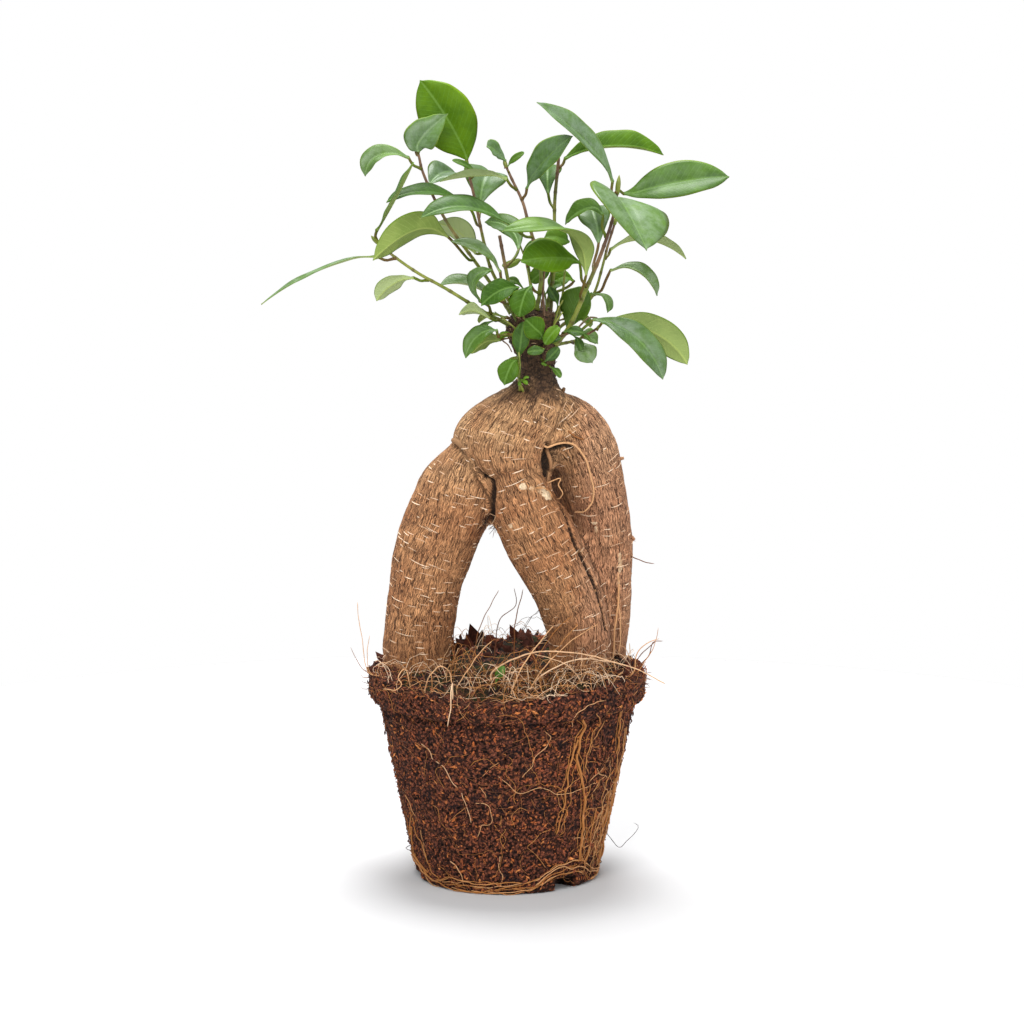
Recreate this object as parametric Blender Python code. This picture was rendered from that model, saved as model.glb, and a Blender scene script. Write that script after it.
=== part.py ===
"""Ginseng ficus bonsai out of its pot: a pot-shaped root ball, a trunk of thick
storage roots standing on it, grafted leafy shoots and their leaves.

Run with:  blender --background --python part.py
Metres, +Z up. The origin is the centre of the root ball's flat underside, the
viewer's side is -Y. Tables of places are in millimetres and are scaled by MM.
"""

import math
from collections import namedtuple

import bmesh
import bpy
from mathutils import Vector
from mathutils.bvhtree import BVHTree

MM = 0.001
GAP = 0.0003                      # clearance between pieces that touch
FOOT_GAP = 0.00045                # the same under a shoot, where the bark is rounded

# Root ball: the inside of a 12 cm nursery pot, rim upwards.
BALL_HEIGHT = 88 * MM
BALL_FOOT_RADIUS = 37.7 * MM
BALL_TOP_RADIUS = 53.3 * MM
LIP_RADIUS = 57.4 * MM
LIP_HEIGHT = 13 * MM
BALL_EDGE = 2.0 * MM              # how far the broken edges are rounded off
BALL_SIDES = 64
WELD = 0.01 * MM                  # closes the seams that the cuts leave
SLOT_ANGLES = (-50, 70, 190)      # the pot's three drain slots, in degrees
SLOT_WIDTH = 12 * MM
SLOT_HEIGHT = 5.5 * MM
SLOT_DEPTH = 11 * MM

# Trunk: each leg stands in a socket of the root ball.
SOCKET_DEPTH = 7 * MM
SOCKET_EASE = 0.9 * MM            # room round a leg, for its uneven bark
SOCKET_STEP = 0.1 * MM            # two sockets run together, so no two floors are level
LEG_FOOT_Z = BALL_HEIGHT - SOCKET_DEPTH + GAP
TRUNK_VOXEL = 2.2 * MM
TRUNK_SMOOTHING = 3
TRUNK_DECIMATE = 0.30

RING = 8                          # points round every leaf and shoot section
PETIOLE_RADIUS = 0.6 * MM
BLADE_THICKNESS = 0.8 * MM
MIDRIB_DEPTH = 0.35 * MM          # how far the midrib stands out underneath

Shade = namedtuple("Shade", "color roughness")
COIR = Shade((0.10, 0.035, 0.018), 0.95)
BARK = Shade((0.30, 0.165, 0.082), 0.85)
SHOOT_GREEN = Shade((0.13, 0.15, 0.03), 0.6)
LEAF_GREEN = Shade((0.07, 0.18, 0.03), 0.4)

# A limb of the trunk is a stack of level ellipses: centre x, centre y, height,
# half width along x, half width along y.
TORSO_AND_MIDDLE_LEG = (
    (11.5, 0, 236, 6.5, 6.5), (11.0, 0, 233, 10.0, 9.5), (10.8, 0, 226, 11.2, 10.5),
    (11.5, 0, 219, 9.0, 9.0), (12.4, 0, 212, 7.6, 7.6), (12.0, 0, 206, 8.6, 8.6),
    (10.0, 0, 202, 13.0, 11.5), (7.5, 0, 198, 18.0, 14.5), (4.0, 0, 192, 21.8, 16.5),
    (1.5, -1, 186, 23.5, 17.5), (0.0, -2, 179, 22.0, 17.5), (3.0, -3, 172, 17.0, 16.0),
    (5.2, -4, 165, 13.0, 14.5), (6.8, -5, 158, 14.0, 14.0), (9.6, -5, 152, 15.8, 14.5),
    (12.2, -5, 146, 16.8, 15.0), (17.0, -4, 134, 17.0, 15.0), (21.8, -3, 124, 16.0, 14.5),
    (25.6, -1, 115, 14.4, 13.6), (28.2, 1, 106, 13.7, 13.4), (29.8, 3, 97, 13.3, 13.2),
    (30.2, 4, 90, 13.0, 13.0), (30.2, 4, 72, 13.0, 13.0),
)
LEFT_LEG = (
    (-11, 1, 184, 8, 10), (-14, 1, 178, 11.0, 12.5), (-19.5, 1, 169, 14.5, 14.5),
    (-22.6, 1, 158, 17.2, 15.5), (-24.6, 2, 150, 18.2, 15.8), (-27.2, 2, 143, 17.8, 15.8),
    (-29.8, 3, 135, 17.0, 15.5), (-32.0, 4, 127, 16.2, 15.3), (-33.8, 5, 119, 15.4, 15.0),
    (-35.2, 6, 110, 14.9, 14.6), (-36.6, 7, 100, 14.5, 14.3), (-37.2, 8, 91, 14.4, 14.2),
    (-37.2, 8, 72, 14.4, 14.2),
)
RIGHT_LEG = (
    (17.0, 3, 200, 8.0, 8.0), (22.0, 4, 196, 12.0, 11.0), (26.5, 5, 189, 14.2, 12.5),
    (29.6, 6, 181, 15.2, 13.2), (33.0, 8, 173, 14.2, 13.4), (35.7, 10, 165, 13.0, 13.0),
    (38.0, 12, 155, 12.0, 12.6), (39.6, 14, 145, 11.7, 12.4), (40.6, 16, 135, 11.6, 12.2),
    (40.9, 18, 123, 11.4, 12.0), (40.8, 20, 108, 11.0, 11.6), (39.8, 21, 92, 10.4, 11.2),
    (39.8, 21, 72, 10.4, 11.2),
)
INNER_LOBE = (                    # the sunk root between the right and middle legs
    (21, 11, 183, 8, 8), (24, 14, 172, 9, 9), (27.5, 17, 158, 9, 9.5),
    (30.5, 20, 145, 8.5, 9.5), (33, 22, 131, 8, 9), (36, 23, 116, 7, 8),
    (38, 22, 104, 5, 6),
)
WEB_BETWEEN_LEGS = (35.4, 14, 72, 9.5, 8.0)   # where the middle and right legs merge
SOCKET_SECTIONS = (TORSO_AND_MIDDLE_LEG[-1], LEFT_LEG[-1], RIGHT_LEG[-1], WEB_BETWEEN_LEGS)

# Leaf: `at` is where along the shoot its petiole starts, 0 to 1. Base and tip are
# the ends of the blade, `face` is where its upper side looks, `arch` lifts the
# middle of the midrib, `fold` is the angle that each half is raised by, and
# `twist` turns the tip end round the midrib. Lengths in mm, angles in degrees.
Leaf = namedtuple("Leaf", "at base tip width face arch fold twist", defaults=(0,))

# Shoot: its axis from the trunk outwards, and its radius at both ends, in mm.
Shoot = namedtuple("Shoot", "path foot_radius tip_radius leaves")

SHOOTS = {
    "far_left": Shoot(
        ((-2.5, -5, 230.5), (-9, -9, 235.5), (-24, -15, 245.5), (-36, -17, 252.5),
         (-47, -18, 260.5), (-52, -18, 265.5)),
        1.3, 0.8, (
            Leaf(1.0, (-51, -20, 272), (-37.5, -21, 297), 11, (-0.88, -0.05, 0.45),
                 (0.5, 0, 0), 14),
            Leaf(0.86, (-56, -19, 260), (-98, -24, 241), 13, (0.3, -0.12, 0.95),
                 (-1, 0, 2.5), 10),
            Leaf(0.62, (-40, -15, 250.5), (-52.5, -13, 241), 10, (-0.1, 0.75, 0.65),
                 (-1, 0, 1), 12),
            Leaf(0.16, (-13, -13, 243), (-6.5, -12, 253), 8, (-0.75, -0.6, 0.25),
                 (-3, -1, 2), 14),
            Leaf(0.10, (-9.5, -12, 235), (-19, -15, 235.5), 8.5, (0.05, 0.7, 0.7),
                 (0, 0, 1.5), 12),
        )),
    "left_tall": Shoot(
        ((-1, 1, 236), (-4.5, 2, 243), (-14, 1, 256.5), (-22.7, 0, 268.5), (-29, -1, 280),
         (-34, -1, 291.5), (-35.8, -1, 299)),
        1.3, 0.8, (
            Leaf(1.0, (-35.5, -3, 300.5), (-24.6, 0, 314.5), 17, (-0.15, -0.85, 0.48),
                 (-4.5, 0, -2.5), 12),
            Leaf(0.93, (-42, -3, 299), (-57, -7, 291), 10.5, (-0.15, -0.6, 0.75),
                 (-3, 0, 3.2), 26),
            Leaf(0.80, (-31, 6, 287), (-21, 22, 289), 14, (0.1, -0.6, 0.8),
                 (0, 0, 2), 16),
            Leaf(0.36, (-26.5, -11, 268), (-53, -30, 259.5), 16, (-0.15, 0.85, 0.5),
                 (2, 1, 6), 18),
        )),
    "left_inner": Shoot(
        ((1, 6, 236.5), (-6, 8, 250), (-9.8, 8, 264), (-12.5, 8, 277), (-15, 8, 288),
         (-16.3, 8, 294.5)),
        1.2, 0.8, (
            Leaf(1.0, (-16.3, 8, 296.5), (-35, 10, 327.5), 20.5, (0.1, -0.98, 0.12),
                 (1.8, 0, -0.3), 10),
            Leaf(0.66, (-11, 14, 279.5), (-7, 28, 289), 19, (0.05, -0.8, 0.6),
                 (0, 0, 3), 14),
            Leaf(0.60, (-17.5, -4.5, 279.5), (-48, -15, 281), 12, (0, -0.3, 0.95),
                 (0, 0, 4), 16),
            Leaf(0.42, (-14, 12, 258), (-29, 8, 270), 12, (0.25, 0.8, 0.5),
                 (2, 2, 2), 12),
        )),
    "cut_stub": Shoot(
        ((2.5, -7, 235), (1, -9, 246), (-1, -11, 256), (-3, -12, 267)),
        1.3, 1.1, (
            Leaf(0.40, (-4.5, -14, 256.5), (-22, -16, 265), 9, (0.35, -0.45, 0.8),
                 (1, 0, 1.5), 14),
            Leaf(0.62, (4.5, 3, 262.5), (-8.5, 13, 270), 13, (0.2, -0.6, 0.75),
                 (2, 2, 2), 14),
            Leaf(0.16, (-6.5, -5, 242), (-27, -8, 246.5), 11, (0, -0.3, 0.95),
                 (0, 0, 2.5), 24),
            Leaf(0.34, (4.0, -15.5, 246.5), (-10, -21.5, 240), 11.5, (0.05, -0.7, 0.7),
                 (0, 0, 2), 14),
        )),
    "middle_left": Shoot(
        ((12, -5, 237), (14, -7, 248), (11.5, -7, 261.5), (8.5, -6, 272), (6.3, -5, 280),
         (2, -4, 289), (-0.5, -4, 294.5)),
        1.3, 0.8, (
            Leaf(1.0, (-1, -4, 297), (-8, -8, 302.5), 9, (0.3, -0.65, 0.7), (-1, 0, 1.5), 12),
            Leaf(0.84, (-2.5, -9, 291), (-26.5, -18, 289.5), 12, (0.0, 0.3, 0.95),
                 (0, 0, 1), 16),
            Leaf(0.76, (8.8, -9, 288), (26, -15, 307), 14.5, (-0.5, -0.7, 0.5),
                 (-1.5, -1, 0.3), 20),
            Leaf(0.50, (-1, -20, 273.5), (-34, -31, 276), 15, (0, -0.4, 0.9),
                 (0, 0, 5), 16),
            Leaf(0.12, (8.5, -18, 246.5), (5, -22, 235.5), 11.5, (-0.15, -0.95, 0.3),
                 (-0.5, -1.5, 0.5), 8),
        )),
    "middle_right": Shoot(
        ((16.5, 2, 237), (19, 3, 250), (19.2, 3, 263), (19.4, 3, 279), (20.8, 3, 294),
         (20.6, 3, 300)),
        1.3, 0.8, (
            Leaf(0.90, (24.8, 6, 297.5), (63, 8, 298), 16, (0, -0.45, 0.89),
                 (0, 0, 3.5), 34),
            Leaf(0.64, (16.5, 9, 285), (16.5, 22, 292), 12, (0, -0.75, 0.65),
                 (0, 0, 2), 14),
            Leaf(0.45, (25, -1, 263), (15.5, -4, 265.5), 9, (0, -0.8, 0.6), (0, 0, 1), 12),
            Leaf(0.10, (26.5, 15, 246.5), (17.5, 12, 243), 10, (0, -0.6, 0.8),
                 (0, 0, 2), 14),
        )),
    "right_main": Shoot(
        ((20.5, -6, 222), (25.5, -9, 230), (32, -10, 245), (38, -10, 259.5), (42.5, -9, 273),
         (44.5, -8, 284)),
        1.7, 0.9, (
            Leaf(0.97, (41.8, -10, 292), (12.5, -16, 320.5), 14.5, (0.6, -0.5, 0.63),
                 (2, 0, 0.8), 18),
            Leaf(1.0, (49, -3, 282.5), (89.5, 2, 289.5), 16, (0, -0.75, 0.65),
                 (0, 0, 1.5), 14),
            Leaf(0.90, (44, -11, 282.5), (55, -44, 265), 38, (0.487, -0.289, 0.826),
                 (-2, 0, 5.5), 10),
            Leaf(0.74, (37.5, -4, 277), (24, 2, 270.5), 12, (-0.2, -0.5, 0.85),
                 (0, 0, 2.5), 20),
            Leaf(0.34, (31.5, -22, 255.5), (-1, -32, 271), 19, (0.35, 0.9, 0.25),
                 (8, 0, 7), 10, -115),
            Leaf(0.52, (37.3, 4, 265.5), (34.5, 15, 275), 14, (-0.1, -0.75, 0.65),
                 (0, 0, 2), 18),
            Leaf(0.42, (27.5, -18, 258), (6, -30, 258.5), 17, (0.05, -0.8, 0.6),
                 (0, 0, 1), 12),
            Leaf(0.08, (25.5, 3, 229.5), (32.5, 1, 244.5), 14, (-0.3, -0.95, 0.15),
                 (-1, -1, 0), 12),
            Leaf(0.13, (38, -15, 233.5), (62.5, -26, 211), 14, (0.35, -0.75, 0.55),
                 (3, 0, 3), 14),
        )),
    "right_back": Shoot(
        ((20.5, 5, 227), (29, 8, 233.5), (35.5, 9, 241), (39, 10, 252), (41, 10, 260), (44, 9, 270)),
        1.0, 0.8, (
            Leaf(0.72, (43.5, 13, 260), (73, 16, 255), 12, (0, 0.3, 0.95),
                 (0, 0, 5), 20),
            Leaf(0.42, (45, 6, 252.5), (61, 3, 241.5), 11, (0.3, -0.3, 0.9),
                 (1.5, 0, 3), 26),
            Leaf(0.20, (37, 3, 242), (41, -2, 235), 7, (0.7, -0.5, 0.5),
                 (1.5, 0, 1), 14),
        )),
    "right_low": Shoot(
        ((23.5, 3, 220.5), (28, 3, 222.5), (33, 0, 225.5), (37, -3, 228.5)),
        1.0, 0.8, (
            Leaf(1.0, (39.5, -4, 231), (73, -8, 214.5), 15, (-0.3, 0.8, 0.5),
                 (4, 0, 4), 12),
            Leaf(0.30, (29, -4, 221.5), (34.5, -8, 215), 11, (0.3, -0.85, 0.45),
                 (0, -1, 0.5), 12),
            Leaf(0.55, (30.5, 8, 223), (37, 10, 220.5), 8, (0.2, -0.6, 0.75), (0, 0, 1.5), 16),
        )),
    "neck_sprout": Shoot(
        ((4.6, -10.5, 205.5), (4.7, -12, 210), (4.7, -13, 215)),
        0.8, 0.6, (
            Leaf(1.0, (5, -14.5, 219.5), (6.5, -17, 232.5), 7.5, (-0.1, -0.95, 0.25),
                 (0, -1, 0), 12),
            Leaf(0.75, (3.4, -15.5, 217.5), (-1, -18.5, 207.5), 9, (-0.1, -0.95, 0.3),
                 (-0.5, -1, 0.5), 10),
        )),
    "knob_sprout": Shoot(
        ((0.5, -8.5, 226), (-1.5, -11, 226.5), (-3.5, -13.5, 227)),
        0.9, 0.7, (
            Leaf(1.0, (-4.5, -14.8, 229.3), (-16.5, -21, 219), 9, (-0.2, -0.7, 0.7),
                 (-1.5, 0, 2.5), 16),
            Leaf(0.5, (-3.5, -9.5, 224), (-14, -12, 219.5), 10, (0.1, 0.7, 0.7),
                 (0, 0, 2), 12),
            Leaf(0.3, (14.5, -17, 227), (7.5, -20, 234), 10, (0, -0.95, 0.3),
                 (0, -1, 0), 10),
        )),
}


def clear_scene():
    for obj in list(bpy.data.objects):
        bpy.data.objects.remove(obj, do_unlink=True)


def material(name, shade):
    mat = bpy.data.materials.new(name)
    mat.use_nodes = True
    bsdf = mat.node_tree.nodes["Principled BSDF"]
    bsdf.inputs["Base Color"].default_value = (*shade.color, 1)
    bsdf.inputs["Roughness"].default_value = shade.roughness
    return mat


def add_object(name, bm, shade, sharp_angle=40):
    mesh = bpy.data.meshes.new(name)
    bm.to_mesh(mesh)
    bm.free()
    mesh.shade_smooth()
    mesh.set_sharp_from_angle(angle=math.radians(sharp_angle))
    mesh.materials.append(material(name, shade))
    obj = bpy.data.objects.new(name, mesh)
    bpy.context.scene.collection.objects.link(obj)
    return obj


def apply_modifiers(obj):
    """Turn the evaluated mesh into the object's own, and drop the modifiers."""
    graph = bpy.context.evaluated_depsgraph_get()
    done = bpy.data.meshes.new_from_object(obj.evaluated_get(graph))
    obj.modifiers.clear()
    obj.data = done


def loft(bm, rings):
    """Triangles between rings of equal length, closed by a fan at each end."""
    rows = [[bm.verts.new(point) for point in ring] for ring in rings]
    count = len(rows[0])
    for lower, upper in zip(rows, rows[1:]):
        for i in range(count):
            j = (i + 1) % count
            bm.faces.new((lower[i], lower[j], upper[j]))
            bm.faces.new((lower[i], upper[j], upper[i]))
    for row, flip in ((rows[0], True), (rows[-1], False)):
        middle = sum((v.co for v in row), Vector()) / count
        fan = bm.verts.new(middle)
        for i in range(count):
            j = (i + 1) % count
            bm.faces.new((row[j], row[i], fan) if flip else (row[i], row[j], fan))
    return rows


def ellipse(center, half_x, half_y, count, turn=0.0):
    angles = (math.tau * i / count + turn for i in range(count))
    return [center + Vector((half_x * math.cos(a), half_y * math.sin(a), 0)) for a in angles]


def smooth_path(points, per_span=6):
    """Points on a Catmull-Rom curve through the given ones."""
    ends = [2 * points[0] - points[1], *points, 2 * points[-1] - points[-2]]
    out = []
    for p0, p1, p2, p3 in zip(ends, ends[1:], ends[2:], ends[3:]):
        for step in range(per_span):
            t = step / per_span
            out.append(0.5 * (2 * p1 + (p2 - p0) * t + (2 * p0 - 5 * p1 + 4 * p2 - p3) * t * t
                              + (3 * p1 - p0 - 3 * p2 + p3) * t ** 3))
    out.append(points[-1].copy())
    return out


# ---------------------------------------------------------------- root ball

def turned(profile, count):
    """A closed solid of revolution from (radius, height) points, bottom to top."""
    bm = bmesh.new()
    loft(bm, [ellipse(Vector((0, 0, z)), r, r, count) for r, z in profile])
    return bm


def helper(name, bm):
    """A cutter: out of every render, drawn as a wire."""
    mesh = bpy.data.meshes.new(name)
    bm.to_mesh(mesh)
    bm.free()
    obj = bpy.data.objects.new(name, mesh)
    bpy.context.scene.collection.objects.link(obj)
    obj.hide_render = True
    obj.display_type = "WIRE"
    return obj


def cut(target, cutter):
    boolean = target.modifiers.new(cutter.name, "BOOLEAN")
    boolean.operation = "DIFFERENCE"
    boolean.solver = "EXACT"
    boolean.object = cutter


def make_root_ball():
    lip_bottom = BALL_HEIGHT - LIP_HEIGHT
    edge = BALL_EDGE
    profile = (
        (BALL_FOOT_RADIUS - edge, 0),
        (BALL_FOOT_RADIUS, edge),
        (BALL_TOP_RADIUS, lip_bottom - edge),
        (LIP_RADIUS - edge / 2, lip_bottom),
        (LIP_RADIUS, lip_bottom + edge),
        (LIP_RADIUS, BALL_HEIGHT - edge),
        (LIP_RADIUS - edge, BALL_HEIGHT),
    )
    ball = add_object("root_ball", turned(profile, BALL_SIDES), COIR)
    for index, (x, y, _, half_x, half_y) in enumerate(SOCKET_SECTIONS):
        bm = bmesh.new()
        floor = BALL_HEIGHT - SOCKET_DEPTH - index * SOCKET_STEP
        sizes = (half_x * MM + SOCKET_EASE, half_y * MM + SOCKET_EASE)
        levels = (floor, BALL_HEIGHT + 3 * MM)
        loft(bm, [ellipse(Vector((x * MM, y * MM, z)), *sizes, 32) for z in levels])
        cut(ball, helper(f"socket_cutter_{index + 1}", bm))
    for index, degrees in enumerate(SLOT_ANGLES):
        bm = bmesh.new()
        out = Vector((math.cos(math.radians(degrees)), math.sin(math.radians(degrees)), 0))
        side = Vector((-out.y, out.x, 0)) * (SLOT_WIDTH / 2)
        inner = out * (BALL_FOOT_RADIUS - SLOT_DEPTH)
        outer = out * (BALL_TOP_RADIUS + 5 * MM)
        levels = (Vector((0, 0, -5 * MM)), Vector((0, 0, SLOT_HEIGHT)))
        loft(bm, [[inner - side + up, outer - side + up, outer + side + up, inner + side + up]
                  for up in levels])
        cut(ball, helper(f"slot_cutter_{index + 1}", bm))
    apply_modifiers(ball)
    bm = bmesh.new()
    bm.from_mesh(ball.data)
    bmesh.ops.remove_doubles(bm, verts=bm.verts[:], dist=WELD)
    bmesh.ops.dissolve_degenerate(bm, edges=bm.edges[:], dist=WELD)
    bmesh.ops.triangulate(bm, faces=bm.faces[:])
    bm.to_mesh(ball.data)
    bm.free()


# ---------------------------------------------------------------- trunk

def make_limb(bm, sections, count=20):
    """One root as a stack of ellipses, smoothed between the given ones."""
    centers = smooth_path([Vector(s[:3]) for s in sections], 3)
    sizes = smooth_path([Vector((s[3], s[4], 0)) for s in sections], 3)
    rings = [ellipse(c * MM, s.x * MM, s.y * MM, count) for c, s in zip(centers, sizes)]
    loft(bm, rings[::-1])


def make_trunk():
    bm = bmesh.new()
    for limb in (TORSO_AND_MIDDLE_LEG, LEFT_LEG, RIGHT_LEG, INNER_LOBE):
        make_limb(bm, limb)
    trunk = add_object("trunk", bm, BARK)
    remesh = trunk.modifiers.new("grown together", "REMESH")
    remesh.mode = "VOXEL"
    remesh.voxel_size = TRUNK_VOXEL
    smooth = trunk.modifiers.new("rounded joins", "SMOOTH")
    smooth.factor = 0.5
    smooth.iterations = TRUNK_SMOOTHING
    thin_out = trunk.modifiers.new("fewer faces", "DECIMATE")
    thin_out.ratio = TRUNK_DECIMATE
    apply_modifiers(trunk)
    bm = bmesh.new()
    bm.from_mesh(trunk.data)
    everything = bm.verts[:] + bm.edges[:] + bm.faces[:]
    cut_edges = bmesh.ops.bisect_plane(
        bm, geom=everything, plane_co=(0, 0, LEG_FOOT_Z), plane_no=(0, 0, -1), clear_outer=True)
    rim = [e for e in cut_edges["geom_cut"] if isinstance(e, bmesh.types.BMEdge)]
    bmesh.ops.holes_fill(bm, edges=rim)
    bmesh.ops.triangulate(bm, faces=bm.faces[:])
    bm.to_mesh(trunk.data)
    bm.free()
    trunk.data.shade_smooth()
    trunk.data.set_sharp_from_angle(angle=math.radians(50))
    return trunk


def bark_surface(trunk):
    bm = bmesh.new()
    bm.from_mesh(trunk.data)
    tree = BVHTree.FromBMesh(bm)
    bm.free()
    return tree


# ---------------------------------------------------------------- shoots and leaves

def frames_along(path, first_side, first_tangent):
    """(tangent, side) at each point, the side carried along without twisting."""
    side = first_side
    frames = []
    for i in range(len(path)):
        ahead = path[min(i + 1, len(path) - 1)]
        behind = path[max(i - 1, 0)]
        tangent = (ahead - behind).normalized() if i else first_tangent
        side = (side - tangent * side.dot(tangent)).normalized()
        frames.append((tangent, side))
    return frames


def along(path, share):
    """The point and direction at a share of the path's length."""
    lengths = [(b - a).length for a, b in zip(path, path[1:])]
    left = share * sum(lengths)
    for a, b, length in zip(path, path[1:], lengths):
        if left <= length:
            return a.lerp(b, left / length), (b - a).normalized()
        left -= length
    return path[-1].copy(), (path[-1] - path[-2]).normalized()


def shoot_path(shoot, bark):
    """The shoot's axis from just off the bark, and the bark's own outward direction."""
    points = [Vector(p) * MM for p in shoot.path]
    place, outward, _, _ = bark.find_nearest(points[0])
    points[0] = place + outward * FOOT_GAP
    return smooth_path(points, 3), outward


def make_shoot(name, shoot, bark):
    path, outward = shoot_path(shoot, bark)
    last = len(path) - 1
    rings = []
    for i, (tangent, side) in enumerate(frames_along(path, Vector((1, 0, 0)), outward)):
        point = path[i]
        radius = (shoot.foot_radius + (shoot.tip_radius - shoot.foot_radius) * i / last) * MM
        other = tangent.cross(side)
        angles = (math.tau * k / RING for k in range(RING))
        rings.append([point + radius * (math.cos(a) * side + math.sin(a) * other)
                      for a in angles])
    bm = bmesh.new()
    loft(bm, rings)
    return add_object(f"shoot_{name}", bm, SHOOT_GREEN)


def blade_share(s):
    """Half width of a blade at s, from base 0 to tip 1, as a share of the widest."""
    swell, taper = 0.85, 0.75
    peak = swell / (swell + taper)
    top = peak ** swell * (1 - peak) ** taper
    return s ** swell * (1 - s) ** taper / top


def leaf_section(point, tangent, normal, half_width, half_thick, rib, fold):
    """Eight points round a V-folded section: edge, top, edge, underside."""
    side = tangent.cross(normal).normalized()
    lift = half_width * math.sin(fold)
    spread = math.cos(fold)
    outline = (
        (-1.0, 1.0, 0.0), (-0.5, 0.42, 1.0), (0.0, 0.0, 1.0), (0.5, 0.42, 1.0),
        (1.0, 1.0, 0.0), (0.5, 0.42, -1.0), (0.0, 0.0, -1.0 - rib), (-0.5, 0.42, -1.0),
    )
    return [point + side * (u * half_width * spread) + normal * (rise * lift + t * half_thick)
            for u, rise, t in outline]


def make_leaf(name, leaf, shoot, bark):
    path, _ = shoot_path(shoot, bark)
    start, heading = along(path, leaf.at)
    base, tip = Vector(leaf.base) * MM, Vector(leaf.tip) * MM
    face, arch = Vector(leaf.face).normalized(), Vector(leaf.arch) * MM
    if leaf.at == 1.0:
        out = heading
        foot = start + out * GAP
    else:
        out = (base - start) - heading * (base - start).dot(heading)
        out.normalize()
        radius = shoot.foot_radius + (shoot.tip_radius - shoot.foot_radius) * leaf.at
        foot = start + out * (radius * MM + GAP)
    blade_length = (tip - base).length
    middle = base.lerp(tip, 0.5) + arch
    first_heading = (middle + arch * 0.4 - base).normalized()

    petiole = []                       # a Hermite curve from the shoot to the blade
    reach = (base - foot).length
    spans = max(3, round(reach / (3.5 * MM)))
    for i in range(spans):
        t = i / spans
        h1, h2 = 2 * t ** 3 - 3 * t * t + 1, t ** 3 - 2 * t * t + t
        h3, h4 = 3 * t * t - 2 * t ** 3, t ** 3 - t * t
        petiole.append(foot * h1 + out * reach * h2 + base * h3 + first_heading * reach * h4)

    stations = 8 if blade_length > 22 * MM else 6 if blade_length > 12 * MM else 5
    blade = []
    shares = [0.5 - 0.5 * math.cos(math.pi * (0.04 + 0.93 * i / (stations - 1)))
              for i in range(stations)]
    for s in shares:
        blade.append(base * (1 - s) + tip * s + arch * (4 * s * (1 - s)))

    points = petiole + blade
    rings = []
    for i, point in enumerate(points):
        ahead = points[min(i + 1, len(points) - 1)]
        behind = points[max(i - 1, 0)]
        tangent = (ahead - behind).normalized() if i else out
        in_blade = i - len(petiole)
        s = shares[in_blade] if in_blade >= 0 else 0.0
        normal = face - tangent * face.dot(tangent)
        normal.normalize()
        turn = math.radians(leaf.twist) * s
        normal = normal * math.cos(turn) + tangent.cross(normal) * math.sin(turn)
        half_width = max(PETIOLE_RADIUS, leaf.width * MM / 2 * blade_share(s))
        if in_blade < 0:
            side = tangent.cross(normal).normalized()
            ring = []
            for k in range(RING):
                a = math.pi - math.tau * k / RING
                ring.append(point + PETIOLE_RADIUS * (math.cos(a) * side + math.sin(a) * normal))
            rings.append(ring)
            continue
        rings.append(leaf_section(point, tangent, normal, half_width, BLADE_THICKNESS / 2,
                                  MIDRIB_DEPTH / BLADE_THICKNESS * (1 - s),
                                  math.radians(leaf.fold) * min(1, 4 * s + 0.3)))
    bm = bmesh.new()
    loft(bm, rings)
    bmesh.ops.recalc_face_normals(bm, faces=bm.faces[:])
    return add_object(name, bm, LEAF_GREEN, 60)


def main():
    clear_scene()
    make_root_ball()
    bark = bark_surface(make_trunk())
    for name, shoot in SHOOTS.items():
        make_shoot(name, shoot, bark)
        for index, leaf in enumerate(shoot.leaves):
            make_leaf(f"leaf_{name}_{index + 1}", leaf, shoot, bark)


main()
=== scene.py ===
# %% [markdown]
# # A ginseng ficus out of its pot
#
# This lesson dresses a imported model of a ginseng ficus: a small fig tree on
# swollen roots, lifted out of its nursery pot, so that the ball of soil and
# roots keeps the pot's shape. The imported model already has the right sizes and
# places. Here each plain solid gets its real surface: bark with furrows and
# pores, leaves with veins and drip tips, coir with chips, and hundreds of
# fine roots.
#
# Much is measured from the imported solids, so it needs no fitting by eye, and
# the same lesson still works when a solid changes a little.

# %% Load the imported model
import math
import random

import bmesh
import bpy
import numpy as np
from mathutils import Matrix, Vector, noise
from mathutils.bvhtree import BVHTree
from numpy.linalg import norm


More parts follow.
